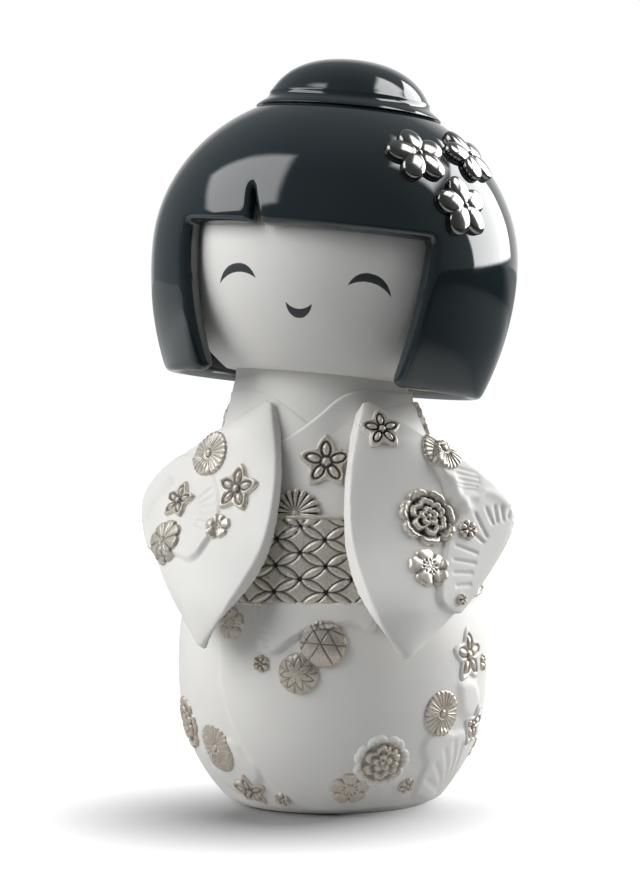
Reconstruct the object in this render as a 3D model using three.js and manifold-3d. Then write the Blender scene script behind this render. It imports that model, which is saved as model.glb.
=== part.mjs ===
// Porcelain kokeshi figurine in a flowered kimono, in millimetres.
// +Z is up, the figure faces -Y and its left arm is at +X. The origin is the middle of the flat foot.
// Slip-cast shells (body, head, hair, sleeves) are luted together, then sprigs and the obi are applied.

import * as THREE from 'three';
import { LoftGeometry } from 'three/addons/geometries/LoftGeometry.js';
import { mergeVertices } from 'three/addons/utils/BufferGeometryUtils.js';
import Module from 'manifold-3d';

const wasm = await Module();
wasm.setup();

// Shared by every casting
const LUTE = 0.3; // slip joint between two pieces
const WALL = 3.6; // cast wall of body and head

// Body: a belly on a flat foot that draws in to the neck and leans to the figure's right
const FOOT_RADIUS = 24.5;
const FOOT_FLARE = [0.74, 0.26]; // how far out and up the wall leaves the foot
const BELLY_RADIUS = 37;
const BELLY_HEIGHT = 36;
const BELLY_BOW = [1.015, 0.51]; // fullness just below the widest line
const WAIST_HOLD = 0.23; // how far up the wall stays upright
const NECK_RADIUS = 20;
const NECK_HEIGHT = 102;
const NECK_SWEEP = [0.33, 0.74]; // how far in and up the wall turns towards the neck
const LEAN = 3.2; // sideways at the neck
const LEAN_START = 31; // height where the lean begins
const VENT_DIAMETER = 8;
const VENT_OFFSET = 12; // behind the middle of the foot

// Obi: a band round the waist with a drum knot behind
const OBI_BOTTOM = 0.494 * NECK_HEIGHT;
const OBI_HEIGHT = 0.205 * NECK_HEIGHT;
const OBI_THICKNESS = 1.3;
const KNOT_WIDTH = 27;
const KNOT_HEIGHT = 1.2 * OBI_HEIGHT;
const KNOT_DEPTH = 8;
const KNOT_CORNER = KNOT_DEPTH / 2.4;

// Collar: two flat bands that cross on the chest, the left one over the right one
const COLLAR_WIDTH = 5.2;
const COLLAR_THICKNESS = 0.7;
const COLLAR_EDGE = 0.3; // thickness left at the lower edge
const COLLAR_NAPE_WIDTH = 2.4;
const COLLAR_NAPE = [179.2, NECK_HEIGHT - 0.21 * NECK_RADIUS]; // degrees from the front and height
const COLLAR_SHOULDER = [90, NECK_HEIGHT - 0.2 * NECK_RADIUS];
const COLLAR_THROAT = [27, NECK_HEIGHT - 0.15 * NECK_RADIUS]; // where the band turns down the chest
const COLLAR_CROSS = [1.5, 0.906 * NECK_HEIGHT]; // where the two bands cross
const COLLAR_END = [-50, 0.764 * NECK_HEIGHT]; // above the obi

// Head: a ball with a flat seat, tilted on the neck
const HEAD_RADIUS = 38.3;
const HEAD_CENTRE = 28; // above the seat
const HEAD_TOP = 34.5; // above the centre
const HEAD_DROP = 35.5; // depth of the lower half before the seat cuts it
const HEAD_ROLL = 4.4; // degrees towards the figure's left
const HEAD_PITCH = -6; // degrees, chin up
const HEAD_YAW = -1.8; // degrees towards the figure's right
const HEAD_ASIDE = 1.3; // from the middle of the neck towards the figure's left
const HEAD_SHIFT = -1; // forward of the foot's middle
const SPIGOT_RADIUS = 11.5; // plug that locates the head in the neck
const SPIGOT_LENGTH = 8;
const SPIGOT_BORE = 7.5;

// Hair: a bobbed cap over the ball in a front and a back half, with a window for the face
const HAIR_WALL = 5.3;
const HAIR_DROP = 59; // lower half-axis of the outer curve
const HAIR_RIM = -3; // below the head's seat
const HAIR_FILLET = 2.5;
const HAIR_LINING = 0.7; // share of the hair's wall by which the inner curve is shallower
const WINDOW_ANGLE = 43; // degrees to each side of the nose, at the fringe
const WINDOW_LOW_ANGLE = 39.2; // and at the rim
const FRINGE_HEIGHT = 32.5; // above the head's seat
const WINDOW_FILLET = 2.4;
const PARTING_ANGLE = -14.7; // degrees, the notch in the fringe
const PARTING_HEIGHT = 9.4;
const PARTING_WIDTH = 3;
const PARTING_LEAN = 2.9; // of its tip towards the figure's right
const PARTING_WAIST = 0.1; // share of its width kept halfway up
const BUN_RADIUS = 19.9;
const BUN_HEIGHT = 13.3;
const BUN_EDGE = 4; // height of the bun's rounded lower edge
const BUN_TUCK = 0.93; // share of its radius where it meets the crown
const BUN_ROUNDNESS = 1.8; // 2 would be an ellipse, less is more pointed

// Sleeves: folded wings with a front face, a ridge through the elbow and a back face.
// Their stations are shares: sideways and forward of the belly's radius, up of the neck's height.
const SLEEVE_WALL = 3.3;
const SLEEVE_BULGE = 2.6;
const BULGE_SHARE = 0.12; // of the face's width, where that is less
const CUFF_TOP = [0.357, -0.568, 0.948];
const CUFF_CHEST = [0.2, -0.838, 0.804];
const CUFF_WAIST = [0.251, -1.041, 0.637];
const CUFF_LOW = [0.451, -1.243, 0.49];
const SLEEVE_TIP = [0.668, -1.081, 0.392];
const SHOULDER = [0.784, -0.378, 0.849];
const ELBOW_TOP = [1.103, -0.227, 0.757];
const ELBOW_LOW = [1.195, -0.243, 0.702];
const HEM = [1.004, -0.662, 0.547];
const ARMPIT_ANGLE = 118; // degrees round the torso, where the back face is luted on
const ARMPIT_TOP = 0.853;
const ARMPIT_LOW = 0.7255;
const BACK_HEM = [0.892, -0.405, 0.539];
const ELBOW_RISE = 1.6; // the right elbow is carried higher, the left one lower
const SLEEVE_SPAN = [0.03, 0.98]; // shares of the way from collar to tip that the casting fills
const POCKET_SPAN = [0.12, 0.9]; // and those that its open pocket fills

// Sprigs
const SPRIG_HEIGHT = 1.1;
const BLOSSOM_HEIGHT = 2;

// Facets
const ROUND = 40;
const BUN_ROUND = 28;
const SOCKET_ROUND = 24;
const VENT_ROUND = 16;
const WALL_STEPS = 17;
const CAVITY_STEPS = 8;
const OBI_STEPS = 4;
const COLLAR_STEPS = 24;
const SLEEVE_STEPS = 13;
const FACE_STEPS = 6;
const BACK_STEPS = 4;

const rad = THREE.MathUtils.degToRad;
const lerp = THREE.MathUtils.lerp;
const UPRIGHT = Math.PI / 2;

// Finishes
const bisque = () => new THREE.MeshStandardMaterial({ color: 0xe9e7e3, roughness: 0.75 });
const hairGlaze = () => new THREE.MeshStandardMaterial({ color: 0x2f393d, roughness: 0.08 });
const lustre = () => new THREE.MeshStandardMaterial({ color: 0xa8a097, roughness: 0.35, metalness: 1 });
const platinum = () => new THREE.MeshStandardMaterial({ color: 0x8f8d8a, roughness: 0.1, metalness: 1 });

// Solid modelling
function solid(geometry) {
  const bare = new THREE.BufferGeometry();
  bare.setAttribute('position', geometry.getAttribute('position'));
  bare.setIndex(geometry.getIndex());
  const merged = mergeVertices(bare, 1e-4);
  const vertProperties = new Float32Array(merged.getAttribute('position').array);
  const triVerts = new Uint32Array(merged.getIndex().array);
  const mesh = new wasm.Mesh({ numProp: 3, vertProperties, triVerts });
  mesh.merge();
  return new wasm.Manifold(mesh);
}

function geometryOf(manifold) {
  const { vertProperties, triVerts } = manifold.getMesh();
  const geometry = new THREE.BufferGeometry();
  geometry.setAttribute('position', new THREE.BufferAttribute(vertProperties, 3));
  geometry.setIndex(new THREE.BufferAttribute(triVerts, 1));
  geometry.computeVertexNormals();
  return geometry;
}

// A profile of [radius, height] points turned round Z, starting at the front
function revolve(profile, segments = ROUND) {
  const points = profile.map(([r, z]) => new THREE.Vector2(r, z));
  return new THREE.LatheGeometry(points, segments).rotateX(UPRIGHT);
}

// A closed skin through rings of points, wound so that it faces out whichever way the rings run
function skin(sections) {
  const [first, next] = sections;
  const area = new THREE.Vector3();
  const onward = new THREE.Vector3();
  first.forEach((p, i) => {
    area.add(p.clone().cross(first[(i + 1) % first.length]));
    onward.add(next[i]).sub(p);
  });
  const rings = area.dot(onward) > 0 ? sections : sections.map((ring) => ring.slice().reverse());
  return solid(new LoftGeometry(rings, { capStart: true, capEnd: true }));
}

function add(parent, name, geometry, material) {
  const mesh = new THREE.Mesh(geometry, material);
  mesh.name = name;
  parent.add(mesh);
}

// The kimono wall
const footCurve = new THREE.CubicBezierCurve(
  new THREE.Vector2(FOOT_RADIUS, 0),
  new THREE.Vector2(lerp(FOOT_RADIUS, BELLY_RADIUS, FOOT_FLARE[0]), FOOT_FLARE[1] * BELLY_HEIGHT),
  new THREE.Vector2(BELLY_BOW[0] * BELLY_RADIUS, BELLY_BOW[1] * BELLY_HEIGHT),
  new THREE.Vector2(BELLY_RADIUS, BELLY_HEIGHT),
);
const torsoCurve = new THREE.CubicBezierCurve(
  new THREE.Vector2(BELLY_RADIUS, BELLY_HEIGHT),
  new THREE.Vector2(BELLY_RADIUS, lerp(BELLY_HEIGHT, NECK_HEIGHT, WAIST_HOLD)),
  new THREE.Vector2(
    lerp(NECK_RADIUS, BELLY_RADIUS, NECK_SWEEP[0]),
    lerp(BELLY_HEIGHT, NECK_HEIGHT, NECK_SWEEP[1]),
  ),
  new THREE.Vector2(NECK_RADIUS, NECK_HEIGHT),
);

function wallRadius(z) {
  if (z >= NECK_HEIGHT) return NECK_RADIUS;
  const curve = z < BELLY_HEIGHT ? footCurve : torsoCurve;
  let low = 0;
  let high = 1;
  for (let i = 0; i < 30; i++) {
    const middle = (low + high) / 2;
    if (curve.getPoint(middle).y < z) low = middle;
    else high = middle;
  }
  return curve.getPoint(low).x;
}

function lean(z) {
  const t = THREE.MathUtils.clamp((z - LEAN_START) / (NECK_HEIGHT - LEAN_START), 0, 1);
  return -LEAN * t * t;
}

function wallSlope(z) {
  const step = 0.05;
  return (wallRadius(z + step) - wallRadius(z - step)) / (2 * step);
}

// A point at an angle from the front and a height, held off the wall by a distance
function wallPoint(angle, z, off) {
  const slope = wallSlope(z);
  const tilt = Math.hypot(1, slope);
  const r = wallRadius(z) + off / tilt;
  return new THREE.Vector3(
    lean(z) + r * Math.sin(angle),
    -r * Math.cos(angle),
    z - (off * slope) / tilt,
  );
}

function leaned(geometry) {
  const position = geometry.getAttribute('position');
  for (let i = 0; i < position.count; i++) {
    position.setX(i, position.getX(i) + lean(position.getZ(i)));
  }
  return geometry;
}

// The wall between two heights, grown or shrunk, as a solid of revolution closed on the axis
function wallSolid(bottom, top, grow, steps) {
  const profile = [[0, bottom]];
  for (let i = 0; i <= steps; i++) {
    const z = lerp(bottom, top, i / steps);
    profile.push([wallRadius(z) + grow, z]);
  }
  profile.push([0, top]);
  return solid(leaned(revolve(profile)));
}

// Head frame: its seat lies on the tilted top of the neck
const head = new THREE.Group();
head.position.set(lean(NECK_HEIGHT) + HEAD_ASIDE, HEAD_SHIFT, NECK_HEIGHT);
head.rotation.set(rad(HEAD_PITCH), rad(HEAD_ROLL), rad(HEAD_YAW));
head.updateMatrix();
const NECK_SPARE = NECK_RADIUS / 2; // wall that the tilted seat trims off

function bodyCasting() {
  const seat = new THREE.BoxGeometry(6 * NECK_RADIUS, 6 * NECK_RADIUS, 6 * NECK_RADIUS);
  seat.translate(0, 0, 3 * NECK_RADIUS - LUTE);
  const socket = revolve(
    [
      [0, -SPIGOT_LENGTH - NECK_SPARE],
      [SPIGOT_RADIUS + LUTE, -SPIGOT_LENGTH - NECK_SPARE],
      [SPIGOT_RADIUS + LUTE, NECK_SPARE],
      [0, NECK_SPARE],
    ],
    SOCKET_ROUND,
  );
  const vent = new THREE.CylinderGeometry(VENT_DIAMETER / 2, VENT_DIAMETER / 2, 4 * WALL, VENT_ROUND);
  vent.rotateX(UPRIGHT).translate(0, VENT_OFFSET, 0);
  const outside = wallSolid(0, NECK_HEIGHT + NECK_SPARE, 0, WALL_STEPS);
  const cavity = wallSolid(WALL, NECK_HEIGHT - SPIGOT_LENGTH, -WALL, CAVITY_STEPS);
  return outside
    .subtract(cavity)
    .subtract(solid(seat.applyMatrix4(head.matrix)))
    .subtract(solid(socket.applyMatrix4(head.matrix)))
    .subtract(solid(vent));
}

function obiBand() {
  const inside = [];
  for (let i = 0; i <= OBI_STEPS; i++) {
    const z = OBI_BOTTOM + (OBI_HEIGHT * i) / OBI_STEPS;
    inside.push([wallRadius(z) + LUTE, z]);
  }
  const outside = inside.map(([r, z]) => [r + OBI_THICKNESS, z]);
  return leaned(revolve([...outside, ...inside.reverse(), outside[0]]));
}

// Everything that seats on the dressed body is cut by the wall and the obi with room for slip
const clearOfWall = wallSolid(0, NECK_HEIGHT + NECK_SPARE, LUTE, WALL_STEPS);
const clearOfObi = wallSolid(
  OBI_BOTTOM - LUTE,
  OBI_BOTTOM + OBI_HEIGHT + LUTE,
  2 * LUTE + OBI_THICKNESS,
  2 * OBI_STEPS,
);

// The drum knot: a pillow with rounded edges that bows out behind the obi
function obiKnot() {
  const middle = OBI_BOTTOM + OBI_HEIGHT / 2;
  const outline = new THREE.Shape();
  const halfWidth = KNOT_WIDTH / 2 - KNOT_CORNER;
  const halfHeight = KNOT_HEIGHT / 2 - KNOT_CORNER;
  const bow = KNOT_CORNER / 2;
  outline.moveTo(-halfWidth, -halfHeight);
  outline.quadraticCurveTo(0, -halfHeight - bow, halfWidth, -halfHeight);
  outline.quadraticCurveTo(halfWidth + bow, 0, halfWidth, halfHeight);
  outline.quadraticCurveTo(0, halfHeight + bow, -halfWidth, halfHeight);
  outline.quadraticCurveTo(-halfWidth - bow, 0, -halfWidth, -halfHeight);
  const pillow = new THREE.ExtrudeGeometry(outline, {
    depth: 2 * KNOT_DEPTH,
    curveSegments: 4,
    bevelThickness: KNOT_CORNER,
    bevelSize: KNOT_CORNER,
    bevelSegments: 3,
  });
  const back = wallPoint(Math.PI, middle, LUTE + OBI_THICKNESS);
  const foot = wallPoint(Math.PI, OBI_BOTTOM, 0);
  const crown = wallPoint(Math.PI, OBI_BOTTOM + OBI_HEIGHT, 0);
  const slant = Math.atan2(foot.y - crown.y, crown.z - foot.z);
  pillow.translate(0, 0, -KNOT_DEPTH - KNOT_CORNER);
  pillow.rotateX(-UPRIGHT).rotateY(Math.PI).rotateX(slant);
  pillow.translate(back.x, back.y, middle);
  return geometryOf(solid(pillow).subtract(clearOfWall).subtract(clearOfObi));
}

// Collar: a strip on the wall along a curve of angle and height, grown where it cuts the other band
function collarBand(stations, grow = 0) {
  const route = new THREE.SplineCurve(stations.map((p) => new THREE.Vector2(...p)));
  const floor = LUTE - grow;
  const face = LUTE + COLLAR_THICKNESS + grow;
  const edge = LUTE + COLLAR_EDGE + grow;
  const [shoulder] = COLLAR_SHOULDER;
  const sections = [];
  for (let i = 0; i <= COLLAR_STEPS; i++) {
    const { x, y } = route.getPointAt(i / COLLAR_STEPS);
    const angle = rad(x);
    const widening = THREE.MathUtils.smoothstep(shoulder - Math.abs(x), 0, shoulder);
    const low = y - lerp(COLLAR_NAPE_WIDTH, COLLAR_WIDTH, widening) - grow;
    const high = y + grow;
    sections.push([
      wallPoint(angle, high, floor),
      wallPoint(angle, high, face),
      wallPoint(angle, low, edge),
      wallPoint(angle, low, floor),
    ]);
  }
  return skin(sections);
}

const mirrored = ([angle, z]) => [-angle, z];
const collarStart = [COLLAR_NAPE, COLLAR_SHOULDER, COLLAR_THROAT];
const overRoute = [...collarStart, COLLAR_CROSS, COLLAR_END];
const underRoute = [...collarStart.map(mirrored), COLLAR_CROSS];
const clearOfOver = collarBand(overRoute, LUTE);
const clearOfUnder = collarBand(underRoute, LUTE);

// Points of an ellipse from one angle up to the next, that one left out
function arc(radius, height, centre, from, to, steps) {
  return Array.from({ length: steps }, (_, i) => {
    const a = lerp(from, to, i / steps);
    return [radius * Math.cos(a), centre + height * Math.sin(a)];
  });
}

// Head ball: outer half-ellipses, seat, spigot and the cavity that its bore opens to
function headCasting() {
  const inner = HEAD_RADIUS - WALL;
  const seatAngle = Math.asin(HEAD_CENTRE / HEAD_DROP);
  const boreAngle = Math.acos(SPIGOT_BORE / inner);
  const outside = [
    [SPIGOT_BORE, -SPIGOT_LENGTH],
    [SPIGOT_RADIUS, -SPIGOT_LENGTH],
    [SPIGOT_RADIUS, 0],
    ...arc(HEAD_RADIUS, HEAD_DROP, HEAD_CENTRE, -seatAngle, 0, 5),
    ...arc(HEAD_RADIUS, HEAD_TOP, HEAD_CENTRE, 0, UPRIGHT, 6),
    [0, HEAD_CENTRE + HEAD_TOP],
  ];
  const inside = [
    ...arc(inner, HEAD_CENTRE - WALL, HEAD_CENTRE, -boreAngle, 0, 3),
    ...arc(inner, HEAD_TOP - WALL, HEAD_CENTRE, 0, UPRIGHT, 4),
    [0, HEAD_CENTRE + HEAD_TOP - WALL],
  ];
  return revolve([...outside, ...inside.reverse(), outside[0]]);
}

// Hair: its outer half-axes, and the shell between its outer and inner curves
const HAIR_RADIUS = HEAD_RADIUS + LUTE + HAIR_WALL;
const HAIR_TOP = HEAD_TOP + LUTE + HAIR_WALL;

function hairShell() {
  const innerRadius = HAIR_RADIUS - HAIR_WALL;
  const innerDrop = HAIR_DROP - HAIR_LINING * HAIR_WALL;
  const depth = HEAD_CENTRE - HAIR_RIM;
  const rimRadius = HAIR_RADIUS * Math.sqrt(1 - (depth / HAIR_DROP) ** 2);
  const outerRim = -Math.asin((depth - HAIR_FILLET) / HAIR_DROP);
  const innerRim = -Math.asin(depth / innerDrop);
  const soft = 0.3 * HAIR_FILLET;
  const outside = [
    [rimRadius - HAIR_FILLET, HAIR_RIM],
    [rimRadius - soft, HAIR_RIM + soft],
    ...arc(HAIR_RADIUS, HAIR_DROP, HEAD_CENTRE, outerRim, 0, 4),
    ...arc(HAIR_RADIUS, HAIR_TOP, HEAD_CENTRE, 0, UPRIGHT, 8),
    [0, HEAD_CENTRE + HAIR_TOP],
  ];
  const inside = [
    ...arc(innerRadius, innerDrop, HEAD_CENTRE, innerRim, 0, 3),
    ...arc(innerRadius, HEAD_TOP + LUTE, HEAD_CENTRE, 0, UPRIGHT, 6),
    [0, HEAD_CENTRE + HEAD_TOP + LUTE],
  ];
  return solid(revolve([...outside, ...inside.reverse(), outside[0]]));
}

// Face window: a wedge from the axis that narrows downwards, rounded where its sides meet the fringe
function faceWindow() {
  const reach = 2 * HAIR_RADIUS;
  const half = reach * Math.tan(rad(WINDOW_ANGLE));
  const low = Math.tan(rad(WINDOW_LOW_ANGLE)) / Math.tan(rad(WINDOW_ANGLE));
  const depth = FRINGE_HEIGHT - HAIR_RIM + 2 * HAIR_FILLET;
  const wedge = new THREE.Shape();
  wedge.moveTo(0, 0);
  wedge.lineTo(-half, -reach);
  wedge.lineTo(half, -reach);
  const cut = new THREE.ExtrudeGeometry(wedge, {
    depth: depth - WINDOW_FILLET,
    bevelThickness: WINDOW_FILLET,
    bevelSize: WINDOW_FILLET,
    bevelOffset: -WINDOW_FILLET,
    bevelSegments: 3,
  });
  cut.translate(0, 0, FRINGE_HEIGHT - depth);
  const position = cut.getAttribute('position');
  for (let i = 0; i < position.count; i++) {
    const share = (position.getZ(i) - HAIR_RIM) / (FRINGE_HEIGHT - HAIR_RIM);
    position.setX(i, position.getX(i) * lerp(low, 1, share));
  }
  return solid(cut);
}

// Parting: a leaf-shaped notch that opens at the fringe and leans aside
function parting() {
  const half = PARTING_WIDTH / 2;
  const waist = PARTING_WAIST * PARTING_WIDTH;
  const middle = FRINGE_HEIGHT + PARTING_HEIGHT / 2;
  const tip = FRINGE_HEIGHT + PARTING_HEIGHT;
  const leaf = new THREE.Shape();
  leaf.moveTo(-half, FRINGE_HEIGHT - PARTING_WIDTH);
  leaf.lineTo(half, FRINGE_HEIGHT - PARTING_WIDTH);
  leaf.lineTo(half, FRINGE_HEIGHT);
  leaf.quadraticCurveTo(waist - PARTING_LEAN / 2, middle, -PARTING_LEAN, tip);
  leaf.quadraticCurveTo(-waist - PARTING_LEAN / 2, middle, -half, FRINGE_HEIGHT);
  const cut = new THREE.ExtrudeGeometry(leaf, {
    depth: 2 * HAIR_RADIUS,
    curveSegments: 4,
    bevelEnabled: false,
  });
  return solid(cut.rotateX(UPRIGHT).rotateZ(rad(PARTING_ANGLE)));
}

function hairHalf(side) {
  const block = new THREE.BoxGeometry(4 * HAIR_RADIUS, 4 * HAIR_RADIUS, 6 * HAIR_RADIUS);
  block.translate(0, side * (2 * HAIR_RADIUS + LUTE / 2), 0);
  return hairShell().subtract(faceWindow()).subtract(parting()).intersect(solid(block));
}

// Bun: hollowed below to the crown it sits on, domed above a rounded edge
function bun() {
  const seat = (r) => HEAD_CENTRE + HAIR_TOP * Math.sqrt(1 - (r / HAIR_RADIUS) ** 2) + LUTE;
  const waist = seat(BUN_RADIUS) + BUN_EDGE / 2;
  const rise = BUN_HEIGHT - LUTE - BUN_EDGE / 2;
  const bend = 2 / BUN_ROUNDNESS;
  const steps = 4;
  const under = Array.from({ length: steps + 1 }, (_, i) => {
    const r = (BUN_TUCK * BUN_RADIUS * i) / steps;
    return [r, seat(r)];
  });
  const dome = arc(1, 1, 0, 0, UPRIGHT, 7).map(([out, up]) => [
    BUN_RADIUS * out ** bend,
    waist + rise * up ** bend,
  ]);
  return revolve([...under, ...dome, [0, waist + rise]], BUN_ROUND);
}

// How far a sleeve's face of a given width bulges
const bulge = (width) => Math.min(SLEEVE_BULGE, BULGE_SHARE * width);

// A sleeve's edges; side is 1 for the figure's left and -1 for its right
function sleeve(side) {
  const place = ([x, y, z], rise) =>
    new THREE.Vector3(side * x * BELLY_RADIUS, y * BELLY_RADIUS, z * NECK_HEIGHT - side * rise);
  // The back face starts inside the wall, which trims it
  const armpit = (share) => wallPoint(side * rad(ARMPIT_ANGLE), share * NECK_HEIGHT, -SLEEVE_WALL);
  const tip = place(SLEEVE_TIP, ELBOW_RISE / 2);
  const cuff = new THREE.CatmullRomCurve3([
    place(CUFF_TOP, 0),
    place(CUFF_CHEST, 0),
    place(CUFF_WAIST, 0),
    place(CUFF_LOW, ELBOW_RISE / 2),
    tip,
  ]);
  const ridge = new THREE.CatmullRomCurve3([
    place(CUFF_TOP, 0),
    place(SHOULDER, ELBOW_RISE / 2),
    place(ELBOW_TOP, ELBOW_RISE),
    place(ELBOW_LOW, ELBOW_RISE),
    place(HEM, ELBOW_RISE),
    tip,
  ]);
  const back = new THREE.CatmullRomCurve3([
    armpit(ARMPIT_TOP),
    armpit(ARMPIT_LOW),
    place(BACK_HEM, ELBOW_RISE / 2),
    tip,
  ]);
  // The outer front face: s runs from the cuff to the ridge, t from the collar to the tip
  const face = (s, t) => {
    const a = cuff.getPointAt(t);
    const b = ridge.getPointAt(t);
    const c = back.getPointAt(t);
    const along = b.clone().sub(a);
    const away = a.clone().sub(c);
    const out = away.addScaledVector(along, -away.dot(along) / along.lengthSq()).normalize();
    const swell = 4 * s * (1 - s) * bulge(along.length());
    return a.addScaledVector(along, s).addScaledVector(out, swell);
  };
  return { cuff, ridge, back, face };
}

// A closed ring of a sleeve section: front face, back face, closing edge
function sleeveSection(shape, t, inset, spread) {
  const a = shape.cuff.getPointAt(t);
  const b = shape.ridge.getPointAt(t);
  const c = shape.back.getPointAt(t);
  const front = b.clone().sub(a).normalize();
  const rear = c.clone().sub(b).normalize();
  const normal = front.clone().cross(rear).normalize();
  const frontIn = normal.clone().cross(front).normalize();
  const rearIn = normal.clone().cross(rear).normalize();
  const half = Math.acos(THREE.MathUtils.clamp(-front.dot(rear), -1, 1)) / 2;
  const bisector = rear.clone().sub(front).normalize();
  const corner = b.clone().addScaledVector(bisector, inset / Math.sin(half));
  const start = a.clone().addScaledVector(frontIn, inset).addScaledVector(front, -spread);
  const end = c.clone().addScaledVector(rearIn, inset).addScaledVector(rear, spread);
  const swell = bulge(a.distanceTo(b));
  const ring = [];
  for (let i = 0; i < FACE_STEPS; i++) {
    const s = i / FACE_STEPS;
    const p = start.clone().lerp(corner, s);
    ring.push(p.addScaledVector(frontIn, -swell * 4 * s * (1 - s)));
  }
  for (let i = 0; i <= BACK_STEPS; i++) {
    const s = i / BACK_STEPS;
    const p = corner.clone().lerp(end, s);
    ring.push(p.addScaledVector(rearIn, -swell * 2 * s * (1 - s)));
  }
  return ring;
}

function sleeveCasting(shape) {
  const loft = ([from, to], inset, spread) => {
    const sections = [];
    for (let i = 0; i <= SLEEVE_STEPS; i++) {
      sections.push(sleeveSection(shape, lerp(from, to, i / SLEEVE_STEPS), inset, spread));
    }
    return skin(sections);
  };
  const pocket = loft(POCKET_SPAN, SLEEVE_WALL, 3 * SLEEVE_WALL);
  return loft(SLEEVE_SPAN, 0, 0)
    .subtract(pocket)
    .subtract(clearOfWall)
    .subtract(clearOfObi)
    .subtract(clearOfOver)
    .subtract(clearOfUnder);
}

// Sprig kinds: petals, facets to a petal, radius at the notch between petals, pointed or round tips,
// height of the middle, and rings of [share of the radius, share of the height, how far the notch dips]
const KINDS = {
  star: {
    petals: 5,
    steps: 4,
    notch: 0.56,
    pointed: true,
    crown: 1.1,
    rings: [[0.24, 0.85, 0], [1, 0.5, 0.3]],
  },
  mum: {
    petals: 12,
    steps: 2,
    notch: 0.88,
    pointed: false,
    crown: 1.3,
    rings: [[0.26, 1.1, 0], [1, 0.55, 0.5]],
  },
  plum: {
    petals: 5,
    steps: 4,
    notch: 0.6,
    pointed: false,
    crown: 0.8,
    rings: [[0.62, 1, 0.5], [1, 0.5, 0.3]],
  },
  bud: {
    petals: 5,
    steps: 2,
    notch: 0.72,
    pointed: false,
    crown: 0.8,
    rings: [[0.55, 1, 0.3], [1, 0.5, 0.2]],
  },
  peony: {
    petals: 8,
    steps: 2,
    notch: 0.84,
    pointed: false,
    crown: 0.9,
    rings: [[0.3, 1.2, 0], [0.58, 1.4, 0.3], [0.7, 0.8, 0], [1, 0.6, 0.4]],
  },
  ball: {
    petals: 16,
    steps: 1,
    notch: 1,
    pointed: false,
    crown: 1.8,
    rings: [[0.55, 1.5, 0], [0.86, 0.9, 0], [1, 0.3, 0]],
  },
  cosmos: {
    petals: 8,
    steps: 2,
    notch: 0.8,
    pointed: false,
    crown: 1.2,
    rings: [[0.28, 0.8, 0], [1, 0.6, 0.4]],
  },
};

// A sprig is a low relief on a wall: onto(a, b, off) carries flat offsets and a height to the wall
function sprigSolid(kind, diameter, height, onto, floor = LUTE) {
  const { petals, steps, notch, pointed, crown, rings } = KINDS[kind];
  const count = petals * steps;
  const positions = [];
  const put = (a, b, off) => positions.push(...onto(a, b, off).toArray());
  const spoke = (j, share, off) => {
    const angle = (2 * Math.PI * j) / count + Math.PI / 2;
    const q = Math.abs((((j + steps / 2) % steps) - steps / 2) / (steps / 2));
    const tip = pointed ? 1 - q : Math.sqrt(1 - q * q);
    const reach = share * (diameter / 2) * lerp(1, lerp(notch, 1, tip), share);
    put(reach * Math.cos(angle), reach * Math.sin(angle), off(q));
  };
  put(0, 0, LUTE + height * crown);
  for (const [share, lift, dip] of rings) {
    for (let j = 0; j < count; j++) spoke(j, share, (q) => LUTE + height * lift * (1 - dip * q));
  }
  for (let j = 0; j < count; j++) spoke(j, 1, () => floor);
  put(0, 0, floor);
  const rim = 1 + rings.length * count;
  const last = rim + count;
  const faces = [];
  for (let j = 0; j < count; j++) {
    const k = (j + 1) % count;
    faces.push(0, 1 + j, 1 + k);
    for (let i = 0; i < rings.length; i++) {
      const inner = 1 + i * count;
      const outer = inner + count;
      faces.push(inner + j, outer + j, outer + k);
      faces.push(inner + j, outer + k, inner + k);
    }
    faces.push(rim + j, last, rim + k);
  }
  const geometry = new THREE.BufferGeometry();
  geometry.setAttribute('position', new THREE.Float32BufferAttribute(positions, 3));
  geometry.setIndex(faces);
  return solid(geometry);
}

// Carriers: each gives the mapping for a sprig centred at one place
function onWall(degrees, share) {
  const z = share * NECK_HEIGHT;
  const climb = 1 / Math.hypot(1, wallSlope(z));
  return (a, b, off) => wallPoint(rad(degrees) + a / wallRadius(z), z + b * climb, off);
}

function onHair(degrees, lift) {
  const at = rad(lift);
  const pace = Math.hypot(HAIR_RADIUS * Math.sin(at), HAIR_TOP * Math.cos(at));
  return (a, b, off) => {
    const angle = rad(degrees) + a / (HAIR_RADIUS * Math.cos(at));
    const rise = at + b / pace;
    const normal = new THREE.Vector2(HAIR_TOP * Math.cos(rise), HAIR_RADIUS * Math.sin(rise)).normalize();
    const r = HAIR_RADIUS * Math.cos(rise) + off * normal.x;
    const z = HEAD_CENTRE + HAIR_TOP * Math.sin(rise) + off * normal.y;
    return new THREE.Vector3(r * Math.sin(angle), -r * Math.cos(angle), z);
  };
}

function onSleeve(shape, side, s0, t0) {
  const step = 0.01;
  const across = (s, t) => shape.face(s + step, t).sub(shape.face(s - step, t)).divideScalar(2 * step);
  const along = (s, t) => shape.face(s, t + step).sub(shape.face(s, t - step)).divideScalar(2 * step);
  const normalAt = (s, t) => along(s, t).cross(across(s, t)).multiplyScalar(side).normalize();
  const normal = normalAt(s0, t0);
  const up = new THREE.Vector3(0, 0, 1).projectOnPlane(normal).normalize();
  const right = up.clone().cross(normal);
  const ds = across(s0, t0);
  const dt = along(s0, t0);
  const area = ds.clone().cross(dt).dot(normal);
  return (a, b, off) => {
    const move = right.clone().multiplyScalar(a).addScaledVector(up, b);
    const s = s0 + move.clone().cross(dt).dot(normal) / area;
    const t = t0 + ds.clone().cross(move).dot(normal) / area;
    return shape.face(s, t).addScaledVector(normalAt(s, t), off);
  };
}

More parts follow.
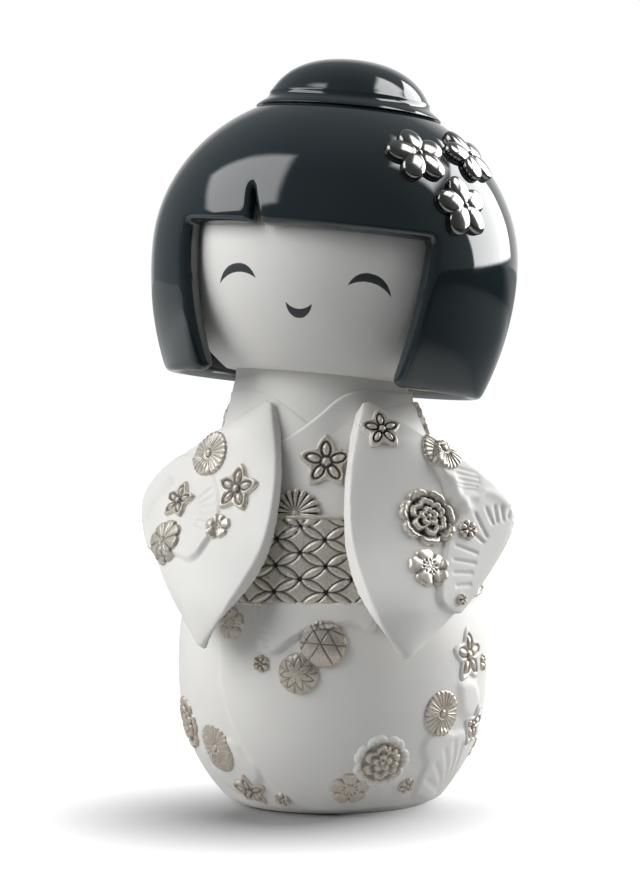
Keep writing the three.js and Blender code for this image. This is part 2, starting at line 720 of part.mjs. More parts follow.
// Sprigs on the kimono wall: name, kind, degrees from the front, height as a share of the neck's,
// diameter as a share of the belly's radius
const WALL_SPRIGS = [
  ['chest_bellflower', 'star', 10, 0.817, 0.303],
  ['obi_chrysanthemum', 'mum', -5.3, 0.702, 0.324],
  ['temari_upper', 'ball', 6.3, 0.412, 0.284],
  ['temari_lower', 'ball', -3, 0.353, 0.259],
  ['skirt_bud_front', 'bud', -18, 0.373, 0.108],
  ['skirt_plum_hip', 'plum', -31, 0.449, 0.205],
  ['skirt_peony_left', 'peony', 29, 0.147, 0.362],
  ['skirt_plum_front', 'plum', 17, 0.072, 0.259],
  ['skirt_bud_foot_left', 'bud', 44, 0.072, 0.116],
  ['skirt_chrysanthemum_left', 'mum', 56, 0.245, 0.297],
  ['skirt_bellflower_left', 'star', 70, 0.363, 0.324],
  ['skirt_bud_left', 'bud', 84, 0.338, 0.108],
  ['skirt_bellflower_low_left', 'star', 77, 0.196, 0.259],
  ['skirt_chrysanthemum_right', 'mum', -42, 0.157, 0.284],
  ['skirt_bellflower_foot_right', 'star', -35, 0.061, 0.23],
  ['skirt_bud_foot_right', 'bud', -22, 0.049, 0.108],
  ['skirt_peony_right', 'peony', -64, 0.196, 0.341],
  ['shoulder_plum_right', 'plum', -95, 0.898, 0.2],
  ['shoulder_bellflower_left', 'star', 103, 0.896, 0.216],
  ['back_chrysanthemum', 'mum', 132, 0.304, 0.297],
  ['back_plum', 'plum', 168, 0.363, 0.243],
  ['back_bellflower_left', 'star', 150, 0.147, 0.27],
  ['back_plum_low', 'plum', 108, 0.127, 0.216],
  ['back_peony', 'peony', -148, 0.225, 0.351],
  ['back_bud', 'bud', -122, 0.343, 0.122],
  ['back_bellflower_right', 'star', -112, 0.176, 0.259],
];

// Sprigs on the sleeves: name, kind, share from cuff to ridge, share from collar to tip, and diameter
// as a share of the belly's radius
const RIGHT_SLEEVE_SPRIGS = [
  ['right_sleeve_chrysanthemum', 'mum', 0.66, 0.285, 0.259],
  ['right_sleeve_bellflower', 'star', 0.28, 0.39, 0.284],
  ['right_sleeve_bellflower_small', 'star', 0.66, 0.47, 0.232],
  ['right_sleeve_plum', 'bud', 0.34, 0.53, 0.173],
  ['right_sleeve_cosmos', 'cosmos', 0.79, 0.62, 0.281],
];
const LEFT_SLEEVE_SPRIGS = [
  ['left_sleeve_bellflower', 'star', 0.37, 0.13, 0.243],
  ['left_sleeve_peony', 'peony', 0.48, 0.48, 0.368],
  ['left_sleeve_plum', 'plum', 0.52, 0.66, 0.259],
  ['left_sleeve_bud', 'bud', 0.71, 0.53, 0.151],
  ['left_sleeve_bud_low', 'bud', 0.9, 0.77, 0.108],
  ['left_sleeve_chrysanthemum', 'mum', 0.79, 0.25, 0.281],
];

// Blossoms on the hair: name, degrees from the nose, degrees up from the hair's widest line
const BLOSSOM_DIAMETER = 0.319 * HAIR_RADIUS;
const HAIR_BLOSSOMS = [
  ['hair_blossom_front', 39.5, 36],
  ['hair_blossom_back', 69, 39.5],
  ['hair_blossom_low', 54, 18.5],
];

const figurine = new THREE.Group();
figurine.add(head);

add(figurine, 'body_casting', geometryOf(bodyCasting()), bisque());
add(figurine, 'obi_band', obiBand(), lustre());
add(figurine, 'obi_knot', obiKnot(), lustre());

add(figurine, 'collar_over', geometryOf(collarBand(overRoute)), bisque());
add(figurine, 'collar_under', geometryOf(collarBand(underRoute).subtract(clearOfOver)), bisque());

add(head, 'head_casting', headCasting(), bisque());
add(head, 'hair_front', geometryOf(hairHalf(-1)), hairGlaze());
add(head, 'hair_back', geometryOf(hairHalf(1)), hairGlaze());
add(head, 'hair_bun', bun(), hairGlaze());
for (const [name, degrees, lift] of HAIR_BLOSSOMS) {
  const blossom = sprigSolid('plum', BLOSSOM_DIAMETER, BLOSSOM_HEIGHT, onHair(degrees, lift));
  add(head, name, geometryOf(blossom), platinum());
}

const SLEEVES = [
  ['sleeve_left', 1, LEFT_SLEEVE_SPRIGS],
  ['sleeve_right', -1, RIGHT_SLEEVE_SPRIGS],
];
for (const [sleeveName, side, sprigs] of SLEEVES) {
  const shape = sleeve(side);
  add(figurine, sleeveName, geometryOf(sleeveCasting(shape)), bisque());
  for (const [name, kind, s, t, size] of sprigs) {
    const sprig = sprigSolid(kind, size * BELLY_RADIUS, SPRIG_HEIGHT, onSleeve(shape, side, s, t));
    add(figurine, name, geometryOf(sprig), lustre());
  }
}

// A sprig on the wall stops at the obi and the collar; one that meets its neighbour is tucked under it
const TUCKED_UNDER = { temari_lower: 'temari_upper', skirt_plum_front: 'skirt_peony_left' };
for (const [name, kind, degrees, height, size] of WALL_SPRIGS) {
  let sprig = sprigSolid(kind, size * BELLY_RADIUS, SPRIG_HEIGHT, onWall(degrees, height));
  sprig = sprig.subtract(clearOfObi).subtract(clearOfOver).subtract(clearOfUnder);
  const over = WALL_SPRIGS.find(([other]) => other === TUCKED_UNDER[name]);
  if (over) {
    const [, overKind, overDegrees, overHeight, overSize] = over;
    const outline = overSize * BELLY_RADIUS + 2 * LUTE;
    const place = onWall(overDegrees, overHeight);
    sprig = sprig.subtract(sprigSolid(overKind, outline, 3 * SPRIG_HEIGHT, place, 0));
  }
  add(figurine, name, geometryOf(sprig), lustre());
}

export default figurine;
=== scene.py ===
"""Porcelain kokeshi figurine in a flowered kimono.

Matte white bisque, slate hair glaze and silver lustre sprigs. The row frame is in metres, +Z up, the
figure facing -Y; sizes below are written in millimetres and angles in degrees.
"""

from math import asin, copysign, cos, pi, radians, sin, sqrt, tau

import bmesh
import bpy
import numpy as np
from mathutils import Matrix, Quaternion, Vector
from mathutils.bvhtree import BVHTree


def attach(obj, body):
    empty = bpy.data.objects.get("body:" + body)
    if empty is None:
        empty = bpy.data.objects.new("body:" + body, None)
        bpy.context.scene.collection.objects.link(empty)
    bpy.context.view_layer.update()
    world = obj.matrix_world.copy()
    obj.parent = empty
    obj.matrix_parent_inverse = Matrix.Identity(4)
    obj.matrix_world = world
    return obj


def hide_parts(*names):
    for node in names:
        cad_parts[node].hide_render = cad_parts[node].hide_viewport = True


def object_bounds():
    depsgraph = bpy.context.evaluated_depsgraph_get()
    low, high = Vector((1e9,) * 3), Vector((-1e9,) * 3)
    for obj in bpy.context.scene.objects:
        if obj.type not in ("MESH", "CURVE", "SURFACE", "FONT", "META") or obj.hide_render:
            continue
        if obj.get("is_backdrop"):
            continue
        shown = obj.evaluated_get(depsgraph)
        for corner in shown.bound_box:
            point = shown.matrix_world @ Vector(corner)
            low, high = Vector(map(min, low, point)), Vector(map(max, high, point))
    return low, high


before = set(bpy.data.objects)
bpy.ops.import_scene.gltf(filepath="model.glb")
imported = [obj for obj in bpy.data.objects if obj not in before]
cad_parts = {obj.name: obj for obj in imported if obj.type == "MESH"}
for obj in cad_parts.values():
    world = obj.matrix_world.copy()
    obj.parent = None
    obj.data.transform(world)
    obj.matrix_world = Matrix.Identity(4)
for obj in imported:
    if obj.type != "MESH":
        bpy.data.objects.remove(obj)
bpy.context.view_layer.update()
scene = bpy.context.scene
scene.view_settings.view_transform = "Standard"
MM = 0.001

# Camera: a long lens a little to the figure's left, looking slightly down on it.
CAMERA_TURN, CAMERA_AWAY, CAMERA_Z = 9.5, 910, 151
AIM_ASIDE, AIM_Z = -3, 85.9
lens = bpy.data.cameras.new("camera")
lens.lens = 154.4
lens.sensor_width = 36
camera = bpy.data.objects.new("camera", lens)
scene.collection.objects.link(camera)
scene.camera = camera
turn = radians(CAMERA_TURN)
stand = Vector((sin(turn) * CAMERA_AWAY, -cos(turn) * CAMERA_AWAY, CAMERA_Z)) * MM
aim = Vector((cos(turn) * AIM_ASIDE, sin(turn) * AIM_ASIDE, AIM_Z)) * MM
camera.location = stand
camera.rotation_mode = "QUATERNION"
camera.rotation_quaternion = (aim - stand).to_track_quat("-Z", "Y")


def linear(code):
    """A colour written as six sRGB hex digits, as the renderer's linear values."""
    parts = [int(code[i : i + 2], 16) / 255 for i in (0, 2, 4)]
    return tuple(c / 12.92 if c <= 0.04045 else ((c + 0.055) / 1.055) ** 2.4 for c in parts) + (1,)


def node(tree, kind, inputs=None, **settings):
    """Adds a node; an input is a value, or a socket of another node to link from."""
    made = tree.nodes.new(kind)
    for key, value in settings.items():
        setattr(made, key, value)
    for key, value in (inputs or {}).items():
        if isinstance(value, bpy.types.NodeSocket):
            tree.links.new(value, made.inputs[key])
        else:
            made.inputs[key].default_value = value
    return made


# Room: white to the camera, with a white backdrop behind the figure that gloss and glass mirror too;
# the side that the camera stands on is a dim studio, which keeps the glaze dark.
STUDIO_FRONT, STUDIO_BACK = 0.09, 0.3


def background_seen(tree, share):
    """1 for a ray from the camera, and a share for one that gloss or glass sends on."""
    rays = node(tree, "ShaderNodeLightPath").outputs
    sent = node(
        tree,
        "ShaderNodeMath",
        {0: rays["Is Glossy Ray"], 1: rays["Is Transmission Ray"]},
        operation="MAXIMUM",
    )
    sent = node(tree, "ShaderNodeMath", {0: sent.outputs[0], 1: share}, operation="MULTIPLY")
    seen = node(tree, "ShaderNodeMath", {0: rays["Is Camera Ray"], 1: sent.outputs[0]}, operation="MAXIMUM")
    return seen.outputs[0]


world = bpy.data.worlds.new("room")
world.use_nodes = True
scene.world = world
tree = world.node_tree
tree.nodes.clear()
facing = node(tree, "ShaderNodeSeparateXYZ", {0: node(tree, "ShaderNodeTexCoord").outputs["Generated"]})
depth = node(
    tree,
    "ShaderNodeMapRange",
    {
        "Value": facing.outputs["Y"],
        "From Min": -0.4,
        "From Max": 0.9,
        "To Min": STUDIO_FRONT,
        "To Max": STUDIO_BACK,
    },
)
backdrop = node(tree, "ShaderNodeMapRange", {"Value": facing.outputs["Y"], "From Min": 0.8})
seen = background_seen(tree, backdrop.outputs[0])
dim = node(tree, "ShaderNodeBackground", {"Color": linear("f4faff"), "Strength": depth.outputs[0]})
white = node(tree, "ShaderNodeBackground", {"Color": linear("ffffff"), "Strength": 1})
mixed = node(tree, "ShaderNodeMixShader", {0: seen, 1: dim.outputs[0], 2: white.outputs[0]})
node(tree, "ShaderNodeOutputWorld", {"Surface": mixed.outputs[0]})

# Softboxes: a strong wide one behind the figure's left shoulder and a dimmer one high at its right, which
# light the clay; smaller and crisper cores are what the glaze and the lustre mirror.
LAMP_AWAY, LAMP_AIM_Z = 800, 90
for name, azimuth, height, roll, width, tall, soft_from, power, mirrored in (
    ("key_softbox", 131, 24, 0, 1800, 1040, 0.3, 22, False),
    ("key_core", 127, 21, 3, 760, 590, 0.46, 7.4, True),
    ("side_core", 110, 54, 0, 440, 380, 0.3, 2.3, True),
    ("fill_softbox", -62, 28, 0, 900, 860, 0.3, 10.4, False),
    ("fill_core", -71, 45, 42, 740, 590, 0.38, 3.1, True),
):
    lamp = bpy.data.lights.new(name, "AREA")
    lamp.shape = "RECTANGLE"
    lamp.size = width * MM
    lamp.size_y = tall * MM
    lamp.energy = power
    lamp.use_nodes = True
    tree = lamp.node_tree
    tree.nodes.clear()
    spot = node(tree, "ShaderNodeNewGeometry").outputs["Parametric"]
    spot = node(tree, "ShaderNodeVectorMath", {0: spot, 1: (0.5, 0.5, 0)}, operation="SUBTRACT").outputs[0]
    spot = node(tree, "ShaderNodeVectorMath", {0: spot}, operation="ABSOLUTE").outputs[0]
    side = node(tree, "ShaderNodeSeparateXYZ", {0: spot}).outputs
    edge = node(tree, "ShaderNodeMath", {0: side["X"], 1: side["Y"]}, operation="MAXIMUM").outputs[0]
    fall = node(
        tree,
        "ShaderNodeMapRange",
        {"Value": edge, "From Min": soft_from, "From Max": 0.5, "To Min": 1, "To Max": 0},
        interpolation_type="SMOOTHSTEP",
    )
    shine = node(tree, "ShaderNodeEmission", {"Strength": fall.outputs[0]})
    node(tree, "ShaderNodeOutputLight", {"Surface": shine.outputs[0]})
    softbox = bpy.data.objects.new(name, lamp)
    scene.collection.objects.link(softbox)
    a, e = radians(azimuth), radians(height)
    arm = Vector((sin(a) * cos(e), -cos(a) * cos(e), sin(e)))
    softbox.location = (Vector((0, 0, LAMP_AIM_Z)) + arm * LAMP_AWAY) * MM
    softbox.rotation_mode = "QUATERNION"
    softbox.rotation_quaternion = arm.to_track_quat("Z", "Y") @ Quaternion((0, 0, 1), radians(roll))
    softbox.visible_diffuse = not mirrored
    softbox.visible_glossy = mirrored

# Floor: matte white paper that keeps the lamps' soft shadow, with painted light and shade on it. To the
# camera it is greyer paper with a painted glow, nil at a point just in front of the foot and to the
# figure's right and growing to white away from it, which paints the shadow's shape; gloss sees a share
# of that glow as a painted reflection. Only the paper close by throws light back at the figure; farther
# off it is painted darker, most to the figure's left.
FLOOR_HALF = 3000
SHADOW_AT, SHADOW_NEAR, SHADOW_FAR = (-7, -26, 0), 12, 70
BOUNCE_NEAR, BOUNCE_FAR = 120, 300
bm = bmesh.new()
bmesh.ops.create_grid(bm, x_segments=1, y_segments=1, size=FLOOR_HALF * MM)
paper_mesh = bpy.data.meshes.new("floor")
bm.to_mesh(paper_mesh)
bm.free()
floor = bpy.data.objects.new("floor", paper_mesh)
scene.collection.objects.link(floor)
floor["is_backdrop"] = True
paper = bpy.data.materials.new("matte_white_paper")
paper.use_nodes = True
tree = paper.node_tree
tree.nodes.clear()
where = node(tree, "ShaderNodeTexCoord").outputs["Object"]
side = node(tree, "ShaderNodeSeparateXYZ", {0: where}).outputs
# Painted reflection: the share of the floor's glow that gloss sees, more behind the figure and to its
# right.
painted_reflection_share = node(tree, "ShaderNodeMath", {0: side["Y"], 1: side["X"]}, operation="SUBTRACT")
painted_reflection_share = node(
    tree,
    "ShaderNodeMapRange",
    {"Value": painted_reflection_share.outputs[0], "From Min": 0.1, "From Max": 0.9, "To Max": 0.3},
    interpolation_type="SMOOTHSTEP",
)
seen = background_seen(tree, painted_reflection_share.outputs[0])
shadow_at = tuple(c * MM for c in SHADOW_AT)
away = node(tree, "ShaderNodeVectorMath", {0: where, 1: shadow_at}, operation="DISTANCE").outputs["Value"]
# Painted light: the glow grows from nil near the shadow's centre to full away from it, painting the
# shadow's shape.
painted_light_away = node(
    tree,
    "ShaderNodeMapRange",
    {"Value": away, "From Min": SHADOW_NEAR * MM, "From Max": SHADOW_FAR * MM},
)
painted_glow = node(tree, "ShaderNodeMath", {0: seen, 1: painted_light_away.outputs[0]}, operation="MULTIPLY")
# Painted shade: to rays other than the camera's the paper darkens from close by to far off, and far off
# most to the figure's left.
reach = node(
    tree,
    "ShaderNodeMapRange",
    {"Value": away, "From Min": BOUNCE_NEAR * MM, "From Max": BOUNCE_FAR * MM},
)
across = node(tree, "ShaderNodeMapRange", {"Value": side["X"], "From Min": -0.4, "From Max": 0.3})
far = node(
    tree,
    "ShaderNodeMix",
    {"Factor": across.outputs[0], 6: linear("a2a4a5"), 7: linear("383a3b")},
    data_type="RGBA",
)
tone = node(
    tree,
    "ShaderNodeMix",
    {"Factor": reach.outputs[0], 6: linear("bcbcbc"), 7: far.outputs[2]},
    data_type="RGBA",
)
# Painted shade: the camera sees the paper darker than the light it throws back, which deepens the shadow by
# the foot.
tone = node(
    tree,
    "ShaderNodeMix",
    {"Factor": seen, 6: tone.outputs[2], 7: linear("969696")},
    data_type="RGBA",
)
sheet = node(
    tree,
    "ShaderNodeBsdfPrincipled",
    {
        "Base Color": tone.outputs[2],
        "Roughness": 0.9,
        "Specular IOR Level": 0.1,
        "Emission Color": linear("ffffff"),
        "Emission Strength": painted_glow.outputs[0],
    },
)
node(tree, "ShaderNodeOutputMaterial", {"Surface": sheet.outputs[0]})
paper_mesh.materials.append(paper)


# Body: a slip-cast belly on a flat foot that draws in to the neck and leans to the figure's right, with
# a vent in its sole. White bisque; the front panel of the kimono laps over with a soft moulded edge.
FOOT, BELLY, BELLY_Z, NECK, NECK_Z = 24.5, 37, 36, 20, 102
LEAN, LEAN_Z = 3.2, 31
NECK_TUCK = 4
VENT, VENT_Y, CAST = 8, 12, 3.6
LAP_TOP, LAP_STEP, LAP_EDGE, LAP_FADE = 51, 0.42, 0.7, 10


def bezier(points, count):
    """Points along a cubic curve of four control points."""
    t = np.linspace(0, 1, count)[:, None]
    a, b, c, d = np.array(points, float)
    return a * (1 - t) ** 3 + 3 * b * t * (1 - t) ** 2 + 3 * c * t**2 * (1 - t) + d * t**3


skirt_curve = bezier(
    [
        (FOOT, 0),
        (FOOT + 0.74 * (BELLY - FOOT), 0.26 * BELLY_Z),
        (1.015 * BELLY, 0.51 * BELLY_Z),
        (BELLY, BELLY_Z),
    ],
    160,
)
torso_curve = bezier(
    [
        (BELLY, BELLY_Z),
        (BELLY, BELLY_Z + 0.23 * (NECK_Z - BELLY_Z)),
        (NECK + 0.33 * (BELLY - NECK), BELLY_Z + 0.74 * (NECK_Z - BELLY_Z)),
        (NECK, NECK_Z),
    ],
    240,
)
wall_curve = np.vstack([skirt_curve, torso_curve[1:]])


def wall_radius(z):
    return np.interp(z, wall_curve[:, 1], wall_curve[:, 0])


def lean(z):
    return -LEAN * np.clip((np.asarray(z) - LEAN_Z) / (NECK_Z - LEAN_Z), 0, 1) ** 2


def wall_point(azimuth, z, off):
    """Points on the kimono wall in millimetres, held off it along its normal."""
    slope = (wall_radius(z + 0.2) - wall_radius(z - 0.2)) / 0.4
    tilt = np.hypot(1, slope)
    r = wall_radius(z) + off / tilt
    return np.stack([lean(z) + r * np.sin(azimuth), -r * np.cos(azimuth), z - off * slope / tilt], -1)


def grid(across, along):
    """A flat grid whose points run from 0 to 1 both ways."""
    bm = bmesh.new()
    bmesh.ops.create_grid(bm, x_segments=across, y_segments=along, size=0.5)
    bmesh.ops.translate(bm, verts=bm.verts, vec=(0.5, 0.5, 0))
    return bm


def turned(profile, steps, start=0, end=tau):
    """A profile of (radius, height) turned round Z; 0 is the front, and the ends may differ by row."""
    rows = len(profile) - 1
    starts, ends = np.broadcast_to(start, rows + 1), np.broadcast_to(end, rows + 1)
    bm = grid(steps, rows)
    seam = []
    for v in bm.verts:
        i = round(v.co.y * rows)
        r, z = profile[i]
        if r < 1e-6 or not 0.5 / steps < v.co.x < 1 - 0.5 / steps:
            seam.append(v)
        angle = starts[i] + (ends[i] - starts[i]) * v.co.x
        v.co = (r * sin(angle) * MM, -r * cos(angle) * MM, z * MM)
    bmesh.ops.remove_doubles(bm, verts=seam, dist=1e-6)
    return bm


def mesh_of(name, bm):
    bmesh.ops.recalc_face_normals(bm, faces=bm.faces)
    mesh = bpy.data.meshes.new(name)
    bm.to_mesh(mesh)
    bm.free()
    mesh.shade_smooth()
    return mesh


def points_of(mesh):
    """The mesh's points in millimetres."""
    co = np.empty(len(mesh.vertices) * 3, np.float32)
    mesh.vertices.foreach_get("co", co)
    return co.reshape(-1, 3).astype(float) / MM


def put_points(mesh, points):
    mesh.vertices.foreach_set("co", (points * MM).astype(np.float32).ravel())
    mesh.update()


def piece(mesh, material, slot, *nodes):
    """Shows a mesh as a piece of the figurine in place of its frame nodes."""
    mesh.materials.append(material)
    obj = bpy.data.objects.new(mesh.name, mesh)
    scene.collection.objects.link(obj)
    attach(obj, "root")
    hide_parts(*nodes)
    return obj


def soft_step(x, low, high):
    t = np.clip((x - low) / (high - low), 0, 1)
    return t * t * (3 - 2 * t)


def gap_to(points, starts, ends):
    """How far flat points lie from the nearest of some straight runs."""
    runs = ends - starts
    from_start = points[:, None] - starts
    share = np.clip((from_start * runs).sum(-1) / (runs**2).sum(-1), 0, 1)
    return np.linalg.norm(from_start - share[..., None] * runs, axis=-1).min(1)


def raised(points, outline, soft):
    """1 inside a rounded outline and 0 outside, with an edge as wide as soft; all flat points."""
    corners = np.array(outline + outline[:1], float)
    travel = np.concatenate([[0], np.cumsum(np.linalg.norm(np.diff(corners, axis=0), axis=1))])
    even = np.linspace(0, travel[-1], 96, endpoint=False)
    starts = np.stack([np.interp(even, travel, corners[:, i]) for i in (0, 1)], -1)
    starts = sum(np.roll(starts, k, 0) for k in (-2, -1, 0, 1, 2)) / 5
    ends = np.roll(starts, -1, 0)
    x, y = points[:, :1], points[:, 1:]
    spans = (starts[:, 1] > y) != (ends[:, 1] > y)
    rise = np.where(starts[:, 1] == ends[:, 1], 1, ends[:, 1] - starts[:, 1])
    meets = starts[:, 0] + (ends[:, 0] - starts[:, 0]) * (y - starts[:, 1]) / rise
    inside = (spans & (x < meets)).sum(1) % 2 == 1
    gap = gap_to(points, starts, ends)
    return soft_step(np.where(inside, gap, -gap), -soft / 2, soft / 2)


def stroked(points, runs, width):
    """1 along straight runs, given as pairs of end points, fading to 0 a width away."""
    ends = np.array(runs, float)
    return np.exp(-((gap_to(points, ends[:, 0], ends[:, 1]) / width) ** 2))


def material_tree(name):
    material = bpy.data.materials.new(name)
    material.use_nodes = True
    material.node_tree.nodes.clear()
    return material, material.node_tree


# White bisque: unglazed and satin-matte, with the faint cloudiness and tooth of fired slip. The tooth
# is finer than this on the real clay, and is drawn coarser to show.
CLOUDING, TOOTH = 11.1, 0.385
bisque, tree = material_tree("white_bisque")
where = node(tree, "ShaderNodeTexCoord").outputs["Object"]
cloud = node(tree, "ShaderNodeTexNoise", {"Vector": where, "Scale": 1 / (CLOUDING * MM), "Detail": 3})
tooth = node(tree, "ShaderNodeTexNoise", {"Vector": where, "Scale": 1 / (TOOTH * MM), "Detail": 2})
tone = node(
    tree,
    "ShaderNodeMix",
    {"Factor": cloud.outputs["Fac"], 6: linear("e4e2de"), 7: linear("ecebe8")},
    data_type="RGBA",
)
relief = node(
    tree,
    "ShaderNodeBump",
    {"Strength": 0.05, "Distance": 0.2 * MM, "Height": tooth.outputs["Fac"]},
)
clay = node(
    tree,
    "ShaderNodeBsdfPrincipled",
    {
        "Base Color": tone.outputs[2],
        "Roughness": 0.5,
        "Specular IOR Level": 0.35,
        "Normal": relief.outputs["Normal"],
    },
)
node(tree, "ShaderNodeOutputMaterial", {"Surface": clay.outputs[0]})

FOOT_ROUND, FOOT_RISE = 2.6, 1.3
rows = [(FOOT - FOOT_ROUND * (1 - sin(a)), FOOT_RISE * (1 - cos(a))) for a in np.linspace(0, 1.35, 8)]
rows += [(wall_radius(z), z) for z in np.linspace(FOOT_RISE + 0.3, NECK_Z, 200)]
rows += [(NECK, NECK_Z + NECK_TUCK), (0, NECK_Z + NECK_TUCK)]
bm = turned(rows, 360)
sole = [e for e in bm.edges if max(v.co.z for v in e.verts) < 1e-7]
vent = bmesh.ops.create_circle(
    bm, segments=48, radius=VENT / 2 * MM, matrix=Matrix.Translation((0, VENT_Y * MM, 0))
)["verts"]
vent_edges = list({e for v in vent for e in v.link_edges})
bmesh.ops.triangle_fill(bm, edges=sole + vent_edges, use_beauty=True)
deep = bmesh.ops.extrude_edge_only(bm, edges=vent_edges)["geom"]
bmesh.ops.translate(bm, verts=[g for g in deep if isinstance(g, bmesh.types.BMVert)], vec=(0, 0, CAST * MM))
bmesh.ops.edgeloop_fill(bm, edges=[g for g in deep if isinstance(g, bmesh.types.BMEdge)])
body_mesh = mesh_of("body", bm)
points = points_of(body_mesh)
azimuth = np.arctan2(points[:, 0], -points[:, 1])
# The lap of the front panel, as azimuth in degrees and height
lap = np.array(
    [
        (-37, LAP_TOP),
        (-36.5, 43),
        (-36, 37.4),
        (-35, 31),
        (-32.1, 24.6),
        (-27.6, 17.5),
        (-23, 12.4),
        (-16.1, 6.3),
        (-8.4, 3),
        (2, 0),
    ]
)
heights = np.linspace(LAP_TOP, 0, 160)
lap_angle = np.radians(np.interp(-heights, -lap[:, 1], lap[:, 0]))
near = np.flatnonzero((np.abs(azimuth) < 1.3) & (points[:, 2] < LAP_TOP) & (points[:, 2] > 0.5))
arc = np.abs(azimuth[near, None] - lap_angle[None]) * wall_radius(points[near, 2])[:, None]
distance = np.hypot(arc, points[near, 2][:, None] - heights[None]).min(1)
side = np.sign(azimuth[near] - np.interp(-points[near, 2], -heights, lap_angle))
over = soft_step(side * distance, -LAP_EDGE, LAP_EDGE)
fade = np.clip((LAP_TOP - points[near, 2]) / 6, 0, 1)
step = LAP_STEP * over * np.exp(-distance / LAP_FADE) * fade
radial = points[near, :2] / np.linalg.norm(points[near, :2], axis=1)[:, None]
points[near, :2] += radial * step[:, None]
# Moulded clouds, rocks and a fan under the white surface, as azimuth in degrees and height
CLOUD = [
    (-17.8, 52),
    (-18.7, 44.8),
    (-16.7, 40.2),
    (-12.7, 39),
    (-9.7, 40.2),
    (-6.3, 42.4),
    (-1.5, 44.5),
    (1.8, 45.9),
    (9.9, 46.6),
    (18.1, 47),
    (21.1, 46.3),
    (22, 44.5),
    (23.9, 44.7),
    (25.3, 46.9),
    (30.2, 52),
]
ROCK = [
    (-34, 18.6),
    (-29.4, 17.4),
    (-26.8, 14.3),
    (-22.3, 12.7),
    (-21.7, 9.3),
    (-28.5, 5.8),
    (-40.4, 4.6),
    (-47.3, 5.9),
    (-52.8, 8.7),
    (-48.5, 12.8),
]
HIP = [(62.3, 30.9), (67.7, 31.4), (74.3, 30.4), (79.8, 25.7), (77.3, 22.3), (72, 21.5), (64.8, 24)]
FAN = [
    (48.1, 19.6),
    (53.8, 20.9),
    (61.6, 18.9),
    (68.4, 19.4),
    (76.4, 15.1),
    (77.5, 10),
    (81, 5.3),
    (80.7, 1.8),
    (65.4, 1.8),
    (51.2, 4.1),
    (49, 8.9),
    (50.8, 12.1),
    (45.4, 16.1),
]
TICKS = [((-18.8, 45.2), (-14.6, 44.7)), ((-17.8, 43.6), (-13.7, 42.9)), ((-16.4, 41.9), (-12.8, 41.3))]
RIBS = [
    ((70, 4), (54, 8)),
    ((70, 4.5), (55, 12)),
    ((71, 5), (58, 15.5)),
    ((72, 5.5), (63, 17)),
    ((74, 5.5), (69, 16)),
    ((76, 5), (75, 12.5)),
]
TICK_DEEP, TICK_WIDE, RIB_DEEP, RIB_WIDE = 0.35, 0.45, 0.32, 0.55
PER_DEGREE = radians(1) * BELLY
near = np.flatnonzero((np.abs(azimuth - 0.2) < 1.35) & (points[:, 2] < 52) & (points[:, 2] > 1))
flat = np.stack([azimuth[near] * BELLY, points[near, 2]], -1)
step = np.zeros(len(near))
# Each with its height and the width of its soft edge
for outline, high, soft in ((CLOUD, 1.6, 1.3), (ROCK, 0.7, 1.6), (HIP, 0.8, 3), (FAN, 0.7, 1.8)):
    step += high * raised(flat, [(a * PER_DEGREE, z) for a, z in outline], soft)
for runs, deep, wide in ((TICKS, TICK_DEEP, TICK_WIDE), (RIBS, RIB_DEEP, RIB_WIDE)):
    step -= deep * stroked(flat, [[(a * PER_DEGREE, z) for a, z in run] for run in runs], wide)
radial = points[near, :2] / np.linalg.norm(points[near, :2], axis=1)[:, None]
points[near, :2] += radial * step[:, None]
points[:, 0] += lean(points[:, 2])
put_points(body_mesh, points)
piece(body_mesh, bisque, "white_bisque", "body_casting")


# Head: a hollow ball with a flat seat, cast by itself and luted on the neck with a slight tilt; the same
# white bisque as the body.
HEAD, HEAD_Z, HEAD_TOP, HEAD_DROP = 38.3, 28, 34.5, 35.5
HEAD_ASIDE, HEAD_FORWARD = 1.3, 1
HEAD_NOD, HEAD_ROLL, HEAD_TURN = -6, 4.4, -1.8
head_frame = (
    Matrix.Translation(Vector((float(lean(NECK_Z)) + HEAD_ASIDE, -HEAD_FORWARD, NECK_Z)) * MM)
    @ Matrix.Rotation(radians(HEAD_NOD), 4, "X")
    @ Matrix.Rotation(radians(HEAD_ROLL), 4, "Y")
    @ Matrix.Rotation(radians(HEAD_TURN), 4, "Z")
)


def rounded(radius, rise, drop, bottom, count):
    """A half-oval profile from a level below its widest line up to the crown."""
    up = np.linspace(-asin((HEAD_Z - bottom) / drop), pi / 2, count)
    return [(radius * cos(e), HEAD_Z + (rise if e > 0 else drop) * sin(e)) for e in up]


bm = turned([(0, 0)] + rounded(HEAD, HEAD_TOP, HEAD_DROP, 0, 72), 144)
head_mesh = mesh_of("head", bm)
head_mesh.transform(head_frame)
piece(head_mesh, bisque, "white_bisque", "head_casting")


# Face: two arched closed eyes and a smile, brushed on the fired bisque in slate overglaze; each is a
# film with soft edges, thickest along its middle.
EYE_ANGLE, EYE_Z, EYE_WIDTH, EYE_ARCH, EYE_BRUSH, EYE_SLANT = 25.2, 19.1, 11.2, 4.1, 2.1, 1.7
MOUTH_Z, MOUTH_WIDTH, MOUTH_DROP, MOUTH_BRUSH = 15.2, 6.8, 3.5, 2.1
PAINT, PAINT_ROOT = 0.12, 0.02


def on_head(azimuth, z, off):
    """Points on the ball of the head in millimetres, held off it sideways."""
    rise = np.where(z > HEAD_Z, HEAD_TOP, HEAD_DROP)
    r = HEAD * np.sqrt(np.clip(1 - ((z - HEAD_Z) / rise) ** 2, 0, 1)) + off
    return np.stack([r * np.sin(azimuth), -r * np.cos(azimuth), z], -1)


